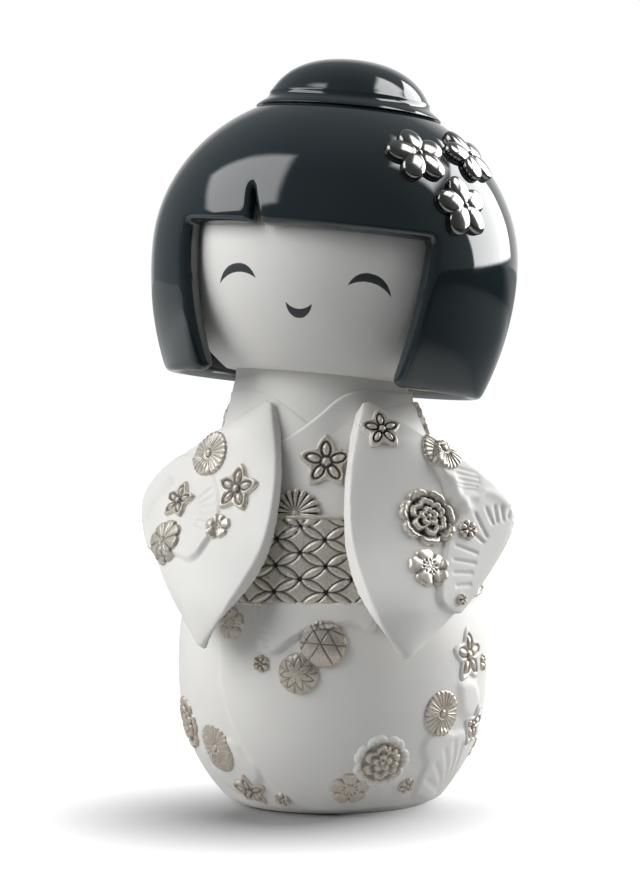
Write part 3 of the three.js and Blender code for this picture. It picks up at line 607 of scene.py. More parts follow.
# Slate overglaze: satin and nearly black, a little uneven where the brush ran thin.
BRUSH_MARK = 1.43
slate, tree = material_tree("slate_overglaze")
where = node(tree, "ShaderNodeTexCoord").outputs["Object"]
brush = node(tree, "ShaderNodeTexNoise", {"Vector": where, "Scale": 1 / (BRUSH_MARK * MM), "Detail": 3})
tone = node(
    tree,
    "ShaderNodeMix",
    {"Factor": brush.outputs["Fac"], 6: linear("2d3032"), 7: linear("43474a")},
    data_type="RGBA",
)
paint = node(tree, "ShaderNodeBsdfPrincipled", {"Base Color": tone.outputs[2], "Roughness": 0.32})
node(tree, "ShaderNodeOutputMaterial", {"Surface": paint.outputs[0]})

for name, angle, z, width, arch, brush_width, slant, full, blunt in (
    ("eye_right", -EYE_ANGLE, EYE_Z, EYE_WIDTH, EYE_ARCH, EYE_BRUSH, EYE_SLANT, 2.1, 0.1),
    ("eye_left", EYE_ANGLE, EYE_Z, EYE_WIDTH, EYE_ARCH, EYE_BRUSH, -EYE_SLANT, 2.1, 0.1),
    ("mouth", -0.4, MOUTH_Z, MOUTH_WIDTH, -MOUTH_DROP, -MOUTH_BRUSH, 0, 2.2, 0.4),
):
    mesh = mesh_of(name, grid(48, 8))
    points = points_of(mesh) * MM
    u = points[:, 0] * 2 - 1
    v = points[:, 1]
    bow = 1 - np.abs(u) ** full
    inner = (arch - brush_width) * bow
    stroke = brush_width * (blunt + (1 - blunt) * np.clip(1 - np.abs(u) ** 3, 0, 1) ** 0.8)
    stroke *= np.sqrt(1 - np.abs(u) ** 12)
    height = z + slant * u / 2 + inner + stroke * v
    off = PAINT * (1 - np.abs(2 * v - 1) ** 4) * (1 - np.abs(u) ** 8)
    put_points(mesh, on_head(radians(angle) + u * width / 2 / HEAD, height, off - PAINT_ROOT))
    mesh.transform(head_frame)
    piece(mesh, slate, "hair_glaze")


# Hair: a bobbed cap cast over the ball, with a square window for the face and a parting nicked in
# its fringe; slate blue-grey glaze, glassy and deep.
HAIR, HAIR_TOP, HAIR_DROP, HAIR_RIM, HAIR_WALL = 43.9, 40.1, 59, -3, 5.3
WINDOW, WINDOW_LOW, FRINGE_Z = 43, 39.2, 32.5
PARTING, PARTING_TOP_ANGLE, PARTING_TOP, PARTING_WIDTH = -14.7, -18.7, 41.9, 2.4

# Slate hair glaze: dark blue-grey and glassy, pooled a little unevenly, with a slight waviness that
# bends what it mirrors.
POOLING, WAVE = 16.7, 4.17
glaze, tree = material_tree("slate_hair_glaze")
where = node(tree, "ShaderNodeTexCoord").outputs["Object"]
pool = node(tree, "ShaderNodeTexNoise", {"Vector": where, "Scale": 1 / (POOLING * MM), "Detail": 2})
wave = node(tree, "ShaderNodeTexNoise", {"Vector": where, "Scale": 1 / (WAVE * MM), "Detail": 1})
tone = node(
    tree,
    "ShaderNodeMix",
    {"Factor": pool.outputs["Fac"], 6: linear("1a2427"), 7: linear("242f33")},
    data_type="RGBA",
)
relief = node(
    tree,
    "ShaderNodeBump",
    {"Strength": 0.03, "Distance": 0.5 * MM, "Height": wave.outputs["Fac"]},
)
glass = node(
    tree,
    "ShaderNodeBsdfPrincipled",
    {
        "Base Color": tone.outputs[2],
        "Roughness": 0.06,
        "IOR": 1.88,
        "Normal": relief.outputs["Normal"],
    },
)
node(tree, "ShaderNodeOutputMaterial", {"Surface": glass.outputs[0]})

levels = list(np.linspace(HAIR_RIM, FRINGE_Z, 13)) + list(np.linspace(FRINGE_Z, PARTING_TOP, 5))[1:]
lowest = asin((PARTING_TOP - HEAD_Z) / HAIR_TOP)
levels += [HEAD_Z + HAIR_TOP * sin(e) for e in np.linspace(lowest, pi / 2, 16)[1:]]
hair_curve = []
for z in levels:
    axis = HAIR_TOP if z > HEAD_Z else HAIR_DROP
    hair_curve.append((HAIR * sqrt(max(0, 1 - ((z - HEAD_Z) / axis) ** 2)), z))
fringe_curve = [p for p in hair_curve if p[1] > FRINGE_Z - 1e-6]
side = np.radians(np.interp([z for _, z in hair_curve], [HAIR_RIM, FRINGE_Z], [WINDOW_LOW, WINDOW]))
up_fringe = np.clip([(z - FRINGE_Z) / (PARTING_TOP - FRINGE_Z) for _, z in fringe_curve], 0, 1)
parting = np.radians(PARTING + (PARTING_TOP_ANGLE - PARTING) * up_fringe)
parted = PARTING_WIDTH / 2 / HAIR * (1 - up_fringe)
hair_mesh = bpy.data.meshes.new("hair")
bm = bmesh.new()
for curve, steps, start, end in (
    (hair_curve, 76, side, tau - side),
    (fringe_curve, 8, -radians(WINDOW), parting - parted),
    (fringe_curve, 18, parting + parted, radians(WINDOW)),
):
    part = turned(curve, steps, start, end)
    part.to_mesh(hair_mesh)
    bm.from_mesh(hair_mesh)
    part.free()
bmesh.ops.remove_doubles(bm, verts=bm.verts, dist=2e-6)
hair_mesh = mesh_of("hair", bm)
shell = bpy.data.objects.new("hair_shell", hair_mesh)
scene.collection.objects.link(shell)
wall = shell.modifiers.new("wall", "SOLIDIFY")
wall.thickness = HAIR_WALL * MM
wall.offset = -1
wall.use_even_offset = True
soft = shell.modifiers.new("rounding", "SUBSURF")
soft.levels = soft.render_levels = 2


def settled(obj, name):
    """The mesh that an object's modifiers make; the object itself is removed."""
    depsgraph = bpy.context.evaluated_depsgraph_get()
    mesh = bpy.data.meshes.new_from_object(obj.evaluated_get(depsgraph))
    mesh.name = name
    bpy.data.objects.remove(obj)
    mesh.shade_smooth()
    return mesh


hair_mesh = settled(shell, "hair")
hair_mesh.transform(head_frame)
piece(hair_mesh, glaze, "hair_glaze", "hair_front", "hair_back")


# Bun: a low dome with a flared foot, cast by itself and luted on the crown, in the hair's glaze; the
# foot turns out in a fillet that mirrors a thin bright line.
BUN, BUN_RISE, BUN_FLARE, BUN_LIFT = 19.9, 12.1, 2.3, 0.3


def crown_z(r):
    """The height of the hair's crown at a distance from its middle."""
    return HEAD_Z + HAIR_TOP * sqrt(1 - (r / HAIR) ** 2)


bun_foot = BUN + BUN_FLARE
bun_edge = (BUN - 0.6, 2.6)
flare = bezier([(bun_foot, -0.9), (BUN + 1.2, 0.7), (BUN - 0.7, 0.8), bun_edge], 24)
cushion = bezier([bun_edge, (BUN - 2, 4.6), (0.76 * BUN, BUN_RISE), (0, BUN_RISE)], 40)
bun_curve = np.vstack([flare, cushion[1:]]) + (0, crown_z(BUN) + BUN_LIFT)
bun_curve = [(0, crown_z(0) - 1), (0.9 * BUN, crown_z(0.9 * BUN) - 1), *bun_curve]
bun_mesh = mesh_of("bun", turned(bun_curve, 128))
bun_mesh.transform(head_frame)
piece(bun_mesh, glaze, "hair_glaze", "hair_bun")


# Sleeves: folded wings cast as shells, with a front face, a ridge through the elbow and a back face
# luted behind the arm; white bisque, fettled so that its edges are softly rounded.
SLEEVE_WALL, SLEEVE_BULGE, ELBOW_RISE = 3.3, 2.6, 1.6
CUFF_PATH = [(11, -21.5, 98.4), (7.4, -31, 82), (9.3, -38.5, 65), (16.7, -46, 50), (24.7, -40, 40)]
RIDGE_PATH = [
    (11, -21.5, 98.4),
    (29, -14, 86.6),
    (40.8, -8.4, 77.2),
    (44.2, -9, 71.6),
    (37.2, -24.5, 55.8),
    (24.7, -40, 40),
]
CUFF_DROPS = [0, 0, 0, 0.5, 0.5]
RIDGE_DROPS = [0, 0.5, 1, 1, 1, 0.5]
ARMPIT, ARMPIT_TOP, ARMPIT_LOW, BACK_HEM = 118, 87, 74, (33, -15, 55)
CLAY_GRAIN, FETTLING = 0.42, 5
# Shares of a sleeve's length that the shell and the pocket inside it run over
SHELL_SPAN, POCKET_SPAN = (0.02, 0.985), (0.12, 0.965)
TIP_FROM, TIP_THIN = 0.6, 0.6
# Moulded clouds and fan folds on the front faces, as sideways distance and height
LEFT_CLOUD = [
    (26.8, 83.2),
    (27.9, 81.3),
    (29.1, 79),
    (29.9, 76.7),
    (30.5, 74.5),
    (31.7, 72.6),
    (33.2, 71.2),
    (34.1, 70.9),
    (32.9, 69.9),
    (31.6, 68),
    (31, 65.4),
    (30.7, 61.2),
    (30.6, 58),
    (30.2, 54.8),
    (30.2, 52.6),
    (31, 50.7),
    (32.7, 49.5),
    (36, 48),
    (44, 58),
    (48, 70),
    (42, 80),
    (36, 86),
    (27.1, 88),
]
LEFT_ROLL = [
    (27.6, 82.7),
    (29, 80.4),
    (30.6, 79.2),
    (31.7, 77.5),
    (32, 75.7),
    (32.8, 74.3),
    (33.9, 73.1),
    (34.4, 72),
]
LEFT_BANK = [(32.9, 73.2), (34.4, 74.7), (36.5, 74.3), (37.7, 75.3), (39.2, 75), (40.9, 74), (42.8, 72)]
LEFT_FOLDS = [
    ((32.8, 64), (37.1, 62)),
    ((32.7, 60.9), (36.8, 59.9)),
    ((32.9, 58.1), (36.2, 57.8)),
    ((33.5, 55.3), (36, 55.3)),
    ((35.5, 67), (38.2, 64.4)),
    ((36.2, 70.7), (38.9, 65.5)),
    ((38.4, 71.8), (40, 68.3)),
    ((40.1, 72.1), (40.9, 68.6)),
    ((41.5, 71.8), (42.1, 68.9)),
    ((43.3, 71.6), (43.1, 69.4)),
]
LEFT_LINES = [
    ((31.4, 81.3), (35.7, 79.6)),
    ((31.5, 80.1), (36.2, 78.5)),
    ((31.8, 78.8), (36.3, 77.5)),
    ((31.9, 77.6), (35.9, 76.8)),
    ((32.2, 76.6), (35.6, 76)),
]
RIGHT_CLOUD = [
    (-22.7, 66.5),
    (-24.5, 64.6),
    (-25, 62.9),
    (-26.1, 61.3),
    (-28.1, 60.2),
    (-29.9, 60.5),
    (-31.9, 61.8),
    (-34.8, 60.8),
    (-38.1, 61.3),
    (-41, 62),
    (-46, 68),
    (-48, 74),
    (-40, 82),
    (-31.8, 84),
    (-26.7, 82.6),
    (-23.8, 78.7),
    (-22.4, 74.3),
    (-21.9, 69.8),
]
RIGHT_BANK = [(-41.1, 69.4), (-41.1, 71.4), (-39.9, 73.1), (-38.9, 74.8), (-37.6, 76), (-36.3, 77.1)]
RIGHT_LINES = [
    ((-27.4, 74.4), (-24.4, 76.6)),
    ((-27, 73.3), (-23.6, 74.9)),
    ((-26.6, 72.2), (-23.1, 73.1)),
    ((-26.4, 71.1), (-22.9, 71.3)),
    ((-26.7, 69.5), (-23.2, 69.5)),
    ((-27.1, 68.2), (-23.7, 67.7)),
]


def spline(points, count):
    """A centripetal curve through points, sampled evenly along its length."""
    p = np.array(points, float)
    p = np.vstack([2 * p[0] - p[1], p, 2 * p[-1] - p[-2]])
    u = np.linspace(0, 1, 40)[:, None]
    runs = []
    for a, b, c, d in zip(p, p[1:], p[2:], p[3:]):
        k, m, n = (np.linalg.norm(y - x) ** 0.5 for x, y in ((a, b), (b, c), (c, d)))
        v = m * ((b - a) / k - (c - a) / (k + m) + (c - b) / m)
        w = m * ((c - b) / m - (d - b) / (m + n) + (d - c) / n)
        runs.append(b + v * u + (3 * (c - b) - 2 * v - w) * u**2 + (2 * (b - c) + v + w) * u**3)
    curve = np.vstack([runs[0]] + [r[1:] for r in runs[1:]])
    travel = np.concatenate([[0], np.cumsum(np.linalg.norm(np.diff(curve, axis=0), axis=1))])
    even = np.linspace(0, travel[-1], count)
    return np.stack([np.interp(even, travel, curve[:, i]) for i in range(curve.shape[1])], -1)


def unit(v):
    return v / np.linalg.norm(v)


def inward(a, b, c):
    """The way into a section from its front face."""
    front, rear = unit(b - a), unit(c - b)
    return np.cross(unit(np.cross(front, rear)), front)


def sleeve_ring(a, b, c, inset, spread, brim):
    """One section of a sleeve: cuff to ridge, ridge to the luted edge, then back to the cuff's lip."""
    front, rear = unit(b - a), unit(c - b)
    front_in, rear_in = inward(a, b, c), np.cross(unit(np.cross(front, rear)), rear)
    half = np.arccos(np.clip(-front @ rear, -1, 1)) / 2
    corner = b + unit(rear - front) * inset / sin(half)
    start = a + front_in * inset - front * spread
    end = c + rear_in * inset + rear * spread
    swell = min(SLEEVE_BULGE, 0.12 * np.linalg.norm(b - a))
    s = np.linspace(0, 1, 25)[:, None]
    face = start + (corner - start) * s - front_in * swell * 4 * s * (1 - s)
    back = corner + (end - corner) * s - rear_in * swell * 2 * s * (1 - s)
    closing = end + (start + brim - end) * s
    lip = start + brim * (1 - s[::4])
    return np.vstack([face, back[1:], closing[1:], lip[1:]])


def sleeve_loft(name, paths, span, inset, spread, thick):
    """Sections along a sleeve, skinned and closed at both ends."""
    steps = 56
    rings = []
    for t in np.linspace(*span, steps + 1):
        at, steady = (
            [np.array([np.interp(u * 400, np.arange(401), p[:, i]) for i in range(3)]) for p in paths]
            for u in (t, np.clip(t, POCKET_SPAN[0], 0.93))
        )
        thin = 1 - TIP_THIN * soft_step(t, TIP_FROM, 1)
        rings.append(sleeve_ring(*at, inset * thin, spread, inward(*steady) * thick * thin))
    rings = np.array(rings)
    bm = grid(steps, rings.shape[1] - 1)
    for v in bm.verts:
        i, j = round(v.co.x * steps), round(v.co.y * (rings.shape[1] - 1))
        v.co = Vector(rings[i, j]) * MM
    bmesh.ops.remove_doubles(bm, verts=bm.verts, dist=1e-6)
    bmesh.ops.holes_fill(bm, edges=[e for e in bm.edges if e.is_boundary], sides=0)
    obj = bpy.data.objects.new(name, mesh_of(name, bm))
    scene.collection.objects.link(obj)
    return obj


def left_relief(flat):
    """How far the left sleeve's moulding stands out, at points given sideways and upward."""
    step = 1.1 * raised(flat, LEFT_CLOUD, 1)
    step += 0.7 * stroked(flat, list(zip(LEFT_ROLL, LEFT_ROLL[1:])), 1)
    step += 0.4 * stroked(flat, list(zip(LEFT_BANK, LEFT_BANK[1:])), 0.9)
    step -= 0.4 * stroked(flat, LEFT_FOLDS, 0.3)
    return step - 0.22 * stroked(flat, LEFT_LINES, 0.32)


def right_relief(flat):
    """The same for the right sleeve, whose cloud sinks away upward."""
    step = raised(flat, RIGHT_CLOUD, 1) * (1.2 - 0.8 * soft_step(flat[:, 1], 64, 76))
    step += 0.8 * stroked(flat, list(zip(RIGHT_BANK, RIGHT_BANK[1:])), 1)
    return step - 0.35 * stroked(flat, RIGHT_LINES, 0.32)


def bvh(mesh):
    """A tree for finding the surface under a point."""
    return BVHTree.FromPolygons([v.co.copy() for v in mesh.vertices], [p.vertices for p in mesh.polygons])


carriers = {"wall": bvh(body_mesh), "hair": bvh(hair_mesh)}
for name, side, lip, open_by, moulded in (
    ("sleeve_left", 1, 6.4, 2, left_relief),
    ("sleeve_right", -1, 5.2, 0.7, right_relief),
):
    cuff = [(side * x, y, z - side * d * ELBOW_RISE) for (x, y, z), d in zip(CUFF_PATH, CUFF_DROPS)]
    cuff[1:4] = [(x + side * open_by, y, z) for x, y, z in cuff[1:4]]
    ridge = [(side * x, y, z - side * d * ELBOW_RISE) for (x, y, z), d in zip(RIDGE_PATH, RIDGE_DROPS)]
    armpits = [wall_point(side * radians(ARMPIT), z, -SLEEVE_WALL) for z in (ARMPIT_TOP, ARMPIT_LOW)]
    hem = (side * BACK_HEM[0], BACK_HEM[1], BACK_HEM[2] - side * ELBOW_RISE / 2)
    paths = [spline(p, 401) for p in (cuff, ridge, armpits + [hem, cuff[-1]])]
    wing = sleeve_loft(name, paths, SHELL_SPAN, 0, 0, lip)
    pocket = sleeve_loft("pocket", paths, POCKET_SPAN, lip, 3 * SLEEVE_WALL, 0)
    hollow = wing.modifiers.new("hollow", "BOOLEAN")
    hollow.object = pocket
    hollow.operation = "DIFFERENCE"
    hollow.solver = "EXACT"
    cast = wing.modifiers.new("cast", "REMESH")
    cast.mode = "VOXEL"
    cast.voxel_size = CLAY_GRAIN * MM
    fettled = wing.modifiers.new("fettled", "SMOOTH")
    fettled.factor = 0.5
    fettled.iterations = FETTLING
    mesh = settled(wing, name)
    points = points_of(mesh)
    normals = np.empty(points.size, np.float32)
    mesh.vertices.foreach_get("normal", normals)
    normals = normals.reshape(-1, 3)
    ahead = soft_step(normals @ np.array([side * 0.6, -0.8, 0]), 0.15, 0.5)
    put_points(mesh, points + normals * (moulded(points[:, [0, 2]]) * ahead)[:, None])
    bpy.data.objects.remove(pocket)
    piece(mesh, bisque, "white_bisque", name)
    carriers[name] = bvh(mesh)


# Obi: a wide band round the waist, pressed with a lattice of overlapping circles; silver lustre over
# the clay, with painted shade in the grooves and along the hems.
OBI_LOW, OBI_TALL, OBI_OUT = 50.4, 20.9, 1.6
COLUMNS, ROW_STEP, LEAF, LEAF_SWELL = 36, 2.99, 1, 0.24
LATTICE_TURN, LATTICE_RISE = 2.3, 0.49
GROOVE, GROOVE_WIDTH = 0.42, 0.3

# Silver lustre: a thin metal film over clay, half bright and half dull, darker and warmer in tone on the
# skirt than from the obi up; painted shade darkens it in grooves, recesses and folds, a temari's threads
# are dark, and it is white where an edge is left bare. Its grain is drawn coarser than the real one, to
# show.
GRAIN, MOTTLE = 0.4545, 3.85
SKIRT_TOP, SILVER_FROM = 42, 52
lustre, tree = material_tree("silver_lustre")
where = node(tree, "ShaderNodeTexCoord").outputs["Object"]
grain = node(tree, "ShaderNodeTexNoise", {"Vector": where, "Scale": 1 / (GRAIN * MM), "Detail": 2})
mottle = node(tree, "ShaderNodeTexNoise", {"Vector": where, "Scale": 1 / (MOTTLE * MM), "Detail": 3})
painted_shade_and_threads = node(tree, "ShaderNodeAttribute", attribute_name="hollow")
height = node(tree, "ShaderNodeSeparateXYZ", {0: where}).outputs["Z"]
# The tone is darker and warmer below the obi than from it up, by height.
rise = node(
    tree,
    "ShaderNodeMapRange",
    {"Value": height, "From Min": SKIRT_TOP * MM, "From Max": SILVER_FROM * MM},
).outputs[0]
skirt_tone = node(
    tree,
    "ShaderNodeMix",
    {"Factor": grain.outputs["Fac"], 6: linear("aaa093"), 7: linear("f6ecdf")},
    data_type="RGBA",
)
bright = node(
    tree,
    "ShaderNodeMix",
    {"Factor": grain.outputs["Fac"], 6: linear("c8c0b3"), 7: linear("fff9ee")},
    data_type="RGBA",
)
tone = node(
    tree, "ShaderNodeMix", {"Factor": rise, 6: skirt_tone.outputs[2], 7: bright.outputs[2]}, data_type="RGBA"
)
# Painted shade: grooves, recesses and folds go dark by the hollow mark, as do a temari's threads.
shaded = node(
    tree,
    "ShaderNodeMix",
    {"Factor": painted_shade_and_threads.outputs["Fac"], 6: tone.outputs[2], 7: linear("302e2c")},
    data_type="RGBA",
)
dulled = node(
    tree,
    "ShaderNodeMapRange",
    {"Value": mottle.outputs["Fac"], "From Min": 0.3, "From Max": 0.7, "To Min": 0.24, "To Max": 0.34},
)
relief = node(
    tree,
    "ShaderNodeBump",
    {"Strength": 0.06, "Distance": 0.05 * MM, "Height": grain.outputs["Fac"]},
)
bared = node(tree, "ShaderNodeAttribute", attribute_name="bare").outputs["Fac"]
coat = node(
    tree, "ShaderNodeMix", {"Factor": bared, 6: shaded.outputs[2], 7: linear("e8e8e7")}, data_type="RGBA"
)
shine = node(tree, "ShaderNodeMapRange", {"Value": bared, "To Min": 0.51, "To Max": 0})
metal = node(
    tree,
    "ShaderNodeBsdfPrincipled",
    {
        "Base Color": coat.outputs[2],
        "Metallic": shine.outputs[0],
        "Roughness": dulled.outputs[0],
        "Normal": relief.outputs["Normal"],
    },
)
node(tree, "ShaderNodeOutputMaterial", {"Surface": metal.outputs[0]})


def mark(mesh, name, values):
    """Keeps a value for each point of a mesh, for its material to read."""
    mesh.attributes.new(name, "FLOAT", "POINT").data.foreach_set("value", values.astype(np.float32))


def shippo(run, z, pitch):
    """Groove depth from 0 to 1 of a lattice of leaves, and how full each leaf swells."""
    u, v = run / pitch, z / ROW_STEP
    x, y = u - np.floor(u), v - np.floor(v)
    y = np.where((np.floor(u) + np.floor(v)) % 2 > 0.5, 1 - y, y)
    length = np.hypot(pitch, ROW_STEP)
    along = (x * pitch * pitch + y * ROW_STEP * ROW_STEP) / length
    side = (y * ROW_STEP * pitch - x * pitch * ROW_STEP) / length
    bow = (length**2 / 4 + LEAF**2) / (2 * LEAF)
    half = np.sqrt(bow**2 - (along - length / 2) ** 2) - (bow - LEAF)
    edge = np.abs(side) - half
    swell = np.clip(1 - (side / np.maximum(half, 0.05)) ** 2, 0, 1) * (edge < 0)
    end = np.minimum(along, length - along)
    pit = np.exp(-((np.hypot(side, end) / 0.55) ** 2))
    return np.clip(np.exp(-((edge / GROOVE_WIDTH) ** 2)) + pit, 0, 1), swell


rows = np.linspace(OBI_LOW, OBI_LOW + OBI_TALL, 78)
edge_rows = [(-1.4, rows[0]), (-0.5, rows[0] - 0.02)]
obi_curve = [(wall_radius(z) + OBI_OUT + d, z) for d, z in edge_rows]
obi_curve += [(wall_radius(z) + OBI_OUT, z) for z in rows]
obi_curve += [(wall_radius(rows[-1]) + OBI_OUT + d, rows[-1] + e) for d, e in ((-0.5, 0.02), (-1.5, 0.02))]
obi_mesh = mesh_of("obi", turned(obi_curve, 900))
points = points_of(obi_mesh)
azimuth = np.arctan2(points[:, 0], -points[:, 1])
radius = np.hypot(points[:, 0], points[:, 1])
mean_radius = float(wall_radius(OBI_LOW + OBI_TALL / 2)) + OBI_OUT
pitch = tau * mean_radius / COLUMNS
run = (azimuth + radians(LATTICE_TURN)) * mean_radius
grooves, swell = shippo(run, points[:, 2] - OBI_LOW - LATTICE_RISE, pitch)
inside = np.minimum(points[:, 2] - OBI_LOW, OBI_LOW + OBI_TALL - points[:, 2])
field = np.clip((inside - 0.5) / 0.6, 0, 1)
hem = np.exp(-(((inside - 0.75) / 0.22) ** 2)) * 0.5
outer = radius > wall_radius(points[:, 2]) + OBI_OUT - 0.2
depth = np.where(outer, GROOVE * np.maximum(grooves * field, hem) - LEAF_SWELL * swell * field, 0)
depth += np.where(outer, 0.35 * np.clip(1 - inside / 0.35, 0, 1), 0)
points[:, :2] *= ((radius - depth) / radius)[:, None]
points[:, 0] += lean(points[:, 2])
put_points(obi_mesh, points)
# Painted shade in the lattice grooves and in the grooves along the hems.
mark(obi_mesh, "hollow", np.where(outer, np.maximum(grooves * field, hem) ** 1.6, 0))
piece(obi_mesh, lustre, "silver_lustre", "obi_band")


# Knot: the drum of the obi behind the waist, a pillow with a tied cord round its middle; cast by itself,
# luted over the band and painted with the same silver lustre.
KNOT_WIDE, KNOT_TALL, KNOT_DEEP, KNOT_ROUND, KNOT_SWELL = 27, 25, 8, 3.2, 1.2
KNOT_CORD, KNOT_CORD_WIDE = 0.7, 1.1
bm = bmesh.new()
bmesh.ops.create_cube(
    bm, size=1, matrix=Matrix.Diagonal((KNOT_WIDE * MM, 1.6 * KNOT_DEEP * MM, KNOT_TALL * MM, 1))
)
bmesh.ops.bevel(
    bm,
    geom=bm.edges[:],
    offset=KNOT_ROUND * MM,
    offset_type="OFFSET",
    segments=6,
    profile=0.5,
    affect="EDGES",
    material=-1,
    clamp_overlap=True,
)
bmesh.ops.subdivide_edges(bm, edges=bm.edges[:], cuts=7, use_grid_fill=True)
knot_mesh = mesh_of("obi_knot", bm)
points = points_of(knot_mesh)
across = points[:, 0] / (KNOT_WIDE / 2)
upward = points[:, 2] / (KNOT_TALL / 2)
points[:, 1] += np.where(points[:, 1] > 0, KNOT_SWELL * (1 - across**2) * (1 - upward**2), 0)
cord = np.exp(-((points[:, 2] / KNOT_CORD_WIDE) ** 2))
points[:, 1] += np.where(points[:, 1] > 0, KNOT_CORD * cord, 0)
middle = OBI_LOW + OBI_TALL / 2
slope = float(wall_radius(OBI_LOW) - wall_radius(OBI_LOW + OBI_TALL)) / OBI_TALL
points[:, 1] += -points[:, 2] * slope + float(wall_radius(middle)) + OBI_OUT + 0.2 * KNOT_DEEP
points[:, 2] += middle
points[:, 0] += lean(points[:, 2])
put_points(knot_mesh, points)
# Painted shade in the creases either side of the cord.
mark(knot_mesh, "hollow", np.exp(-(((np.abs(points[:, 2] - middle) - 1.7) / 0.4) ** 2)))
piece(knot_mesh, lustre, "silver_lustre", "obi_knot")


# Collar: two flat bands of slip that cross on the chest, the left one over the right one; luted to the
# wall and left as white bisque. Their paths are given as azimuth and height.
COLLAR_WIDE, COLLAR_NAPE, COLLAR_THICK, COLLAR_ROOT = 9, 2.4, 0.75, 0.15
COLLAR_STEPS = 160
OVER_PATH = [(179.2, 97.8), (90, 98), (27, 99), (1.5, 92.4), (-50, 77.9)]
UNDER_PATH = [(-179.2, 97.8), (-90, 98), (-27, 99), (1.5, 92.4), (16, 87.5)]
for name, path, thick in (("collar_over", OVER_PATH, 1), ("collar_under", UNDER_PATH, 0.5)):
    mesh = mesh_of(name, grid(COLLAR_STEPS, 14))
    points = points_of(mesh) * MM
    route = spline(path, COLLAR_STEPS + 1)
    at = np.rint(points[:, 0] * COLLAR_STEPS).astype(int)
    angle, high = route[at, 0], route[at, 1]
    wide = np.clip((90 - np.abs(angle)) / 90, 0, 1)
    wide = COLLAR_NAPE + (COLLAR_WIDE - COLLAR_NAPE) * wide**2 * (3 - 2 * wide)
    v = points[:, 1] ** 2
    lip = np.clip(v / 0.08, 0, 1) ** 0.5 * np.clip(1 - v, 0, 1)
    off = COLLAR_THICK * thick * lip - COLLAR_ROOT
    put_points(mesh, wall_point(np.radians(angle), high - wide * v, off))
    piece(mesh, bisque, "white_bisque", name)


# Sprigs: flowers pressed in small moulds, luted to the clay and painted with silver lustre; each is
# worked as a flat round of rings and spokes, then laid over the wall or sleeve that carries it. A flower
# gives its reach and places as shares of its radius, its height in millimetres and the painted shade in its
# hollows, grooves and folds; a temari gives its dark threads in the same way.
def petal_share(theta, petals):
    """0 on a petal's middle line and 1 at the notch to the next; the first petal points up."""
    turns = (theta / tau) * petals
    return np.abs(turns - np.rint(turns)) * 2


def dome(r, size):
    """A round bead's height, from 1 at its middle to 0 at its size."""
    return np.sqrt(np.clip(1 - (r / size) ** 2, 0, 1))


def bellflower(rho, theta):
    q = petal_share(theta, 5)
    reach = 0.78 + 0.16 * np.cos(pi * q) + 0.06 * np.clip(1 - q / 0.35, 0, 1) ** 2
    lean_to = q * pi / 5
    x, y = rho * reach * np.cos(lean_to), rho * reach * np.sin(lean_to)
    pod = np.hypot((x - 0.45) / 0.25, y / 0.13)
    well = np.hypot((x - 0.44) / 0.36, y / 0.215)
    rim = soft_step(rho, 0.7, 0.86) - soft_step(rho, 0.9, 1)
    height = 0.72 + 0.16 * rim - 0.3 * soft_step(rho, 0.9, 1)
    sunk = 1 - soft_step(well, 0.8, 1.02)
    height = height * (1 - sunk) + 0.25 * sunk
    height = np.maximum(height, 0.2 + 0.85 * dome(pod, 1) * (pod < 1))
    bead = np.hypot(x, y)
    height = np.where(bead < 0.24, 0.3, height)
    height = np.maximum(height, 0.3 + 0.85 * dome(bead, 0.17) * (bead < 0.17))
    # Painted shade in the sunk wells round the pods and in the ring round the bead.
    hollow = np.clip(sunk * (pod > 0.92) + (bead < 0.24) * (bead > 0.155), 0, 1)
    return reach, height, hollow


def chrysanthemum(rho, theta):
    q = petal_share(theta, 24)
    reach = 1 - 0.05 * (1 - q) ** 3
    out = soft_step(rho, 0.24, 0.36)
    wall = np.exp(-(((q - 1) / 0.2) ** 2)) * out
    height = 0.8 - 0.12 * rho**2 + 0.16 * wall - 0.1 * (1 - q**2) * out - 0.3 * soft_step(rho, 0.93, 1)
    height = np.where(rho < 0.25, 0.55, height)
    height = np.maximum(height, 0.5 + 0.6 * dome(rho, 0.17) * (rho < 0.17))
    # Painted shade at the foot of each raised edge between petals, darker towards the middle, and round the
    # centre.
    line = np.exp(-(((q - 0.66) / 0.14) ** 2)) * out * (1.15 - 0.7 * rho)
    return reach, height, np.clip(line + 0.9 * (rho < 0.24) * (rho > 0.16), 0, 1)


def obi_flower(rho, theta):
    q = petal_share(theta, 18)
    reach = 1 - 0.16 * q**2.5
    ridge = np.sqrt(np.clip(1 - q**2, 0, 1))
    swell = soft_step(rho, 0.1, 0.75)
    height = 0.45 + 0.75 * ridge * (0.35 + 0.65 * swell) - 0.3 * soft_step(rho, 0.9, 1)
    height = np.maximum(height, 0.45 + 0.8 * dome(rho, 0.16) * (rho < 0.16))
    # Painted shade towards the notches between the petals, away from the middle.
    return reach, height, soft_step(q, 0.5, 0.9) * soft_step(rho, 0.1, 0.25)


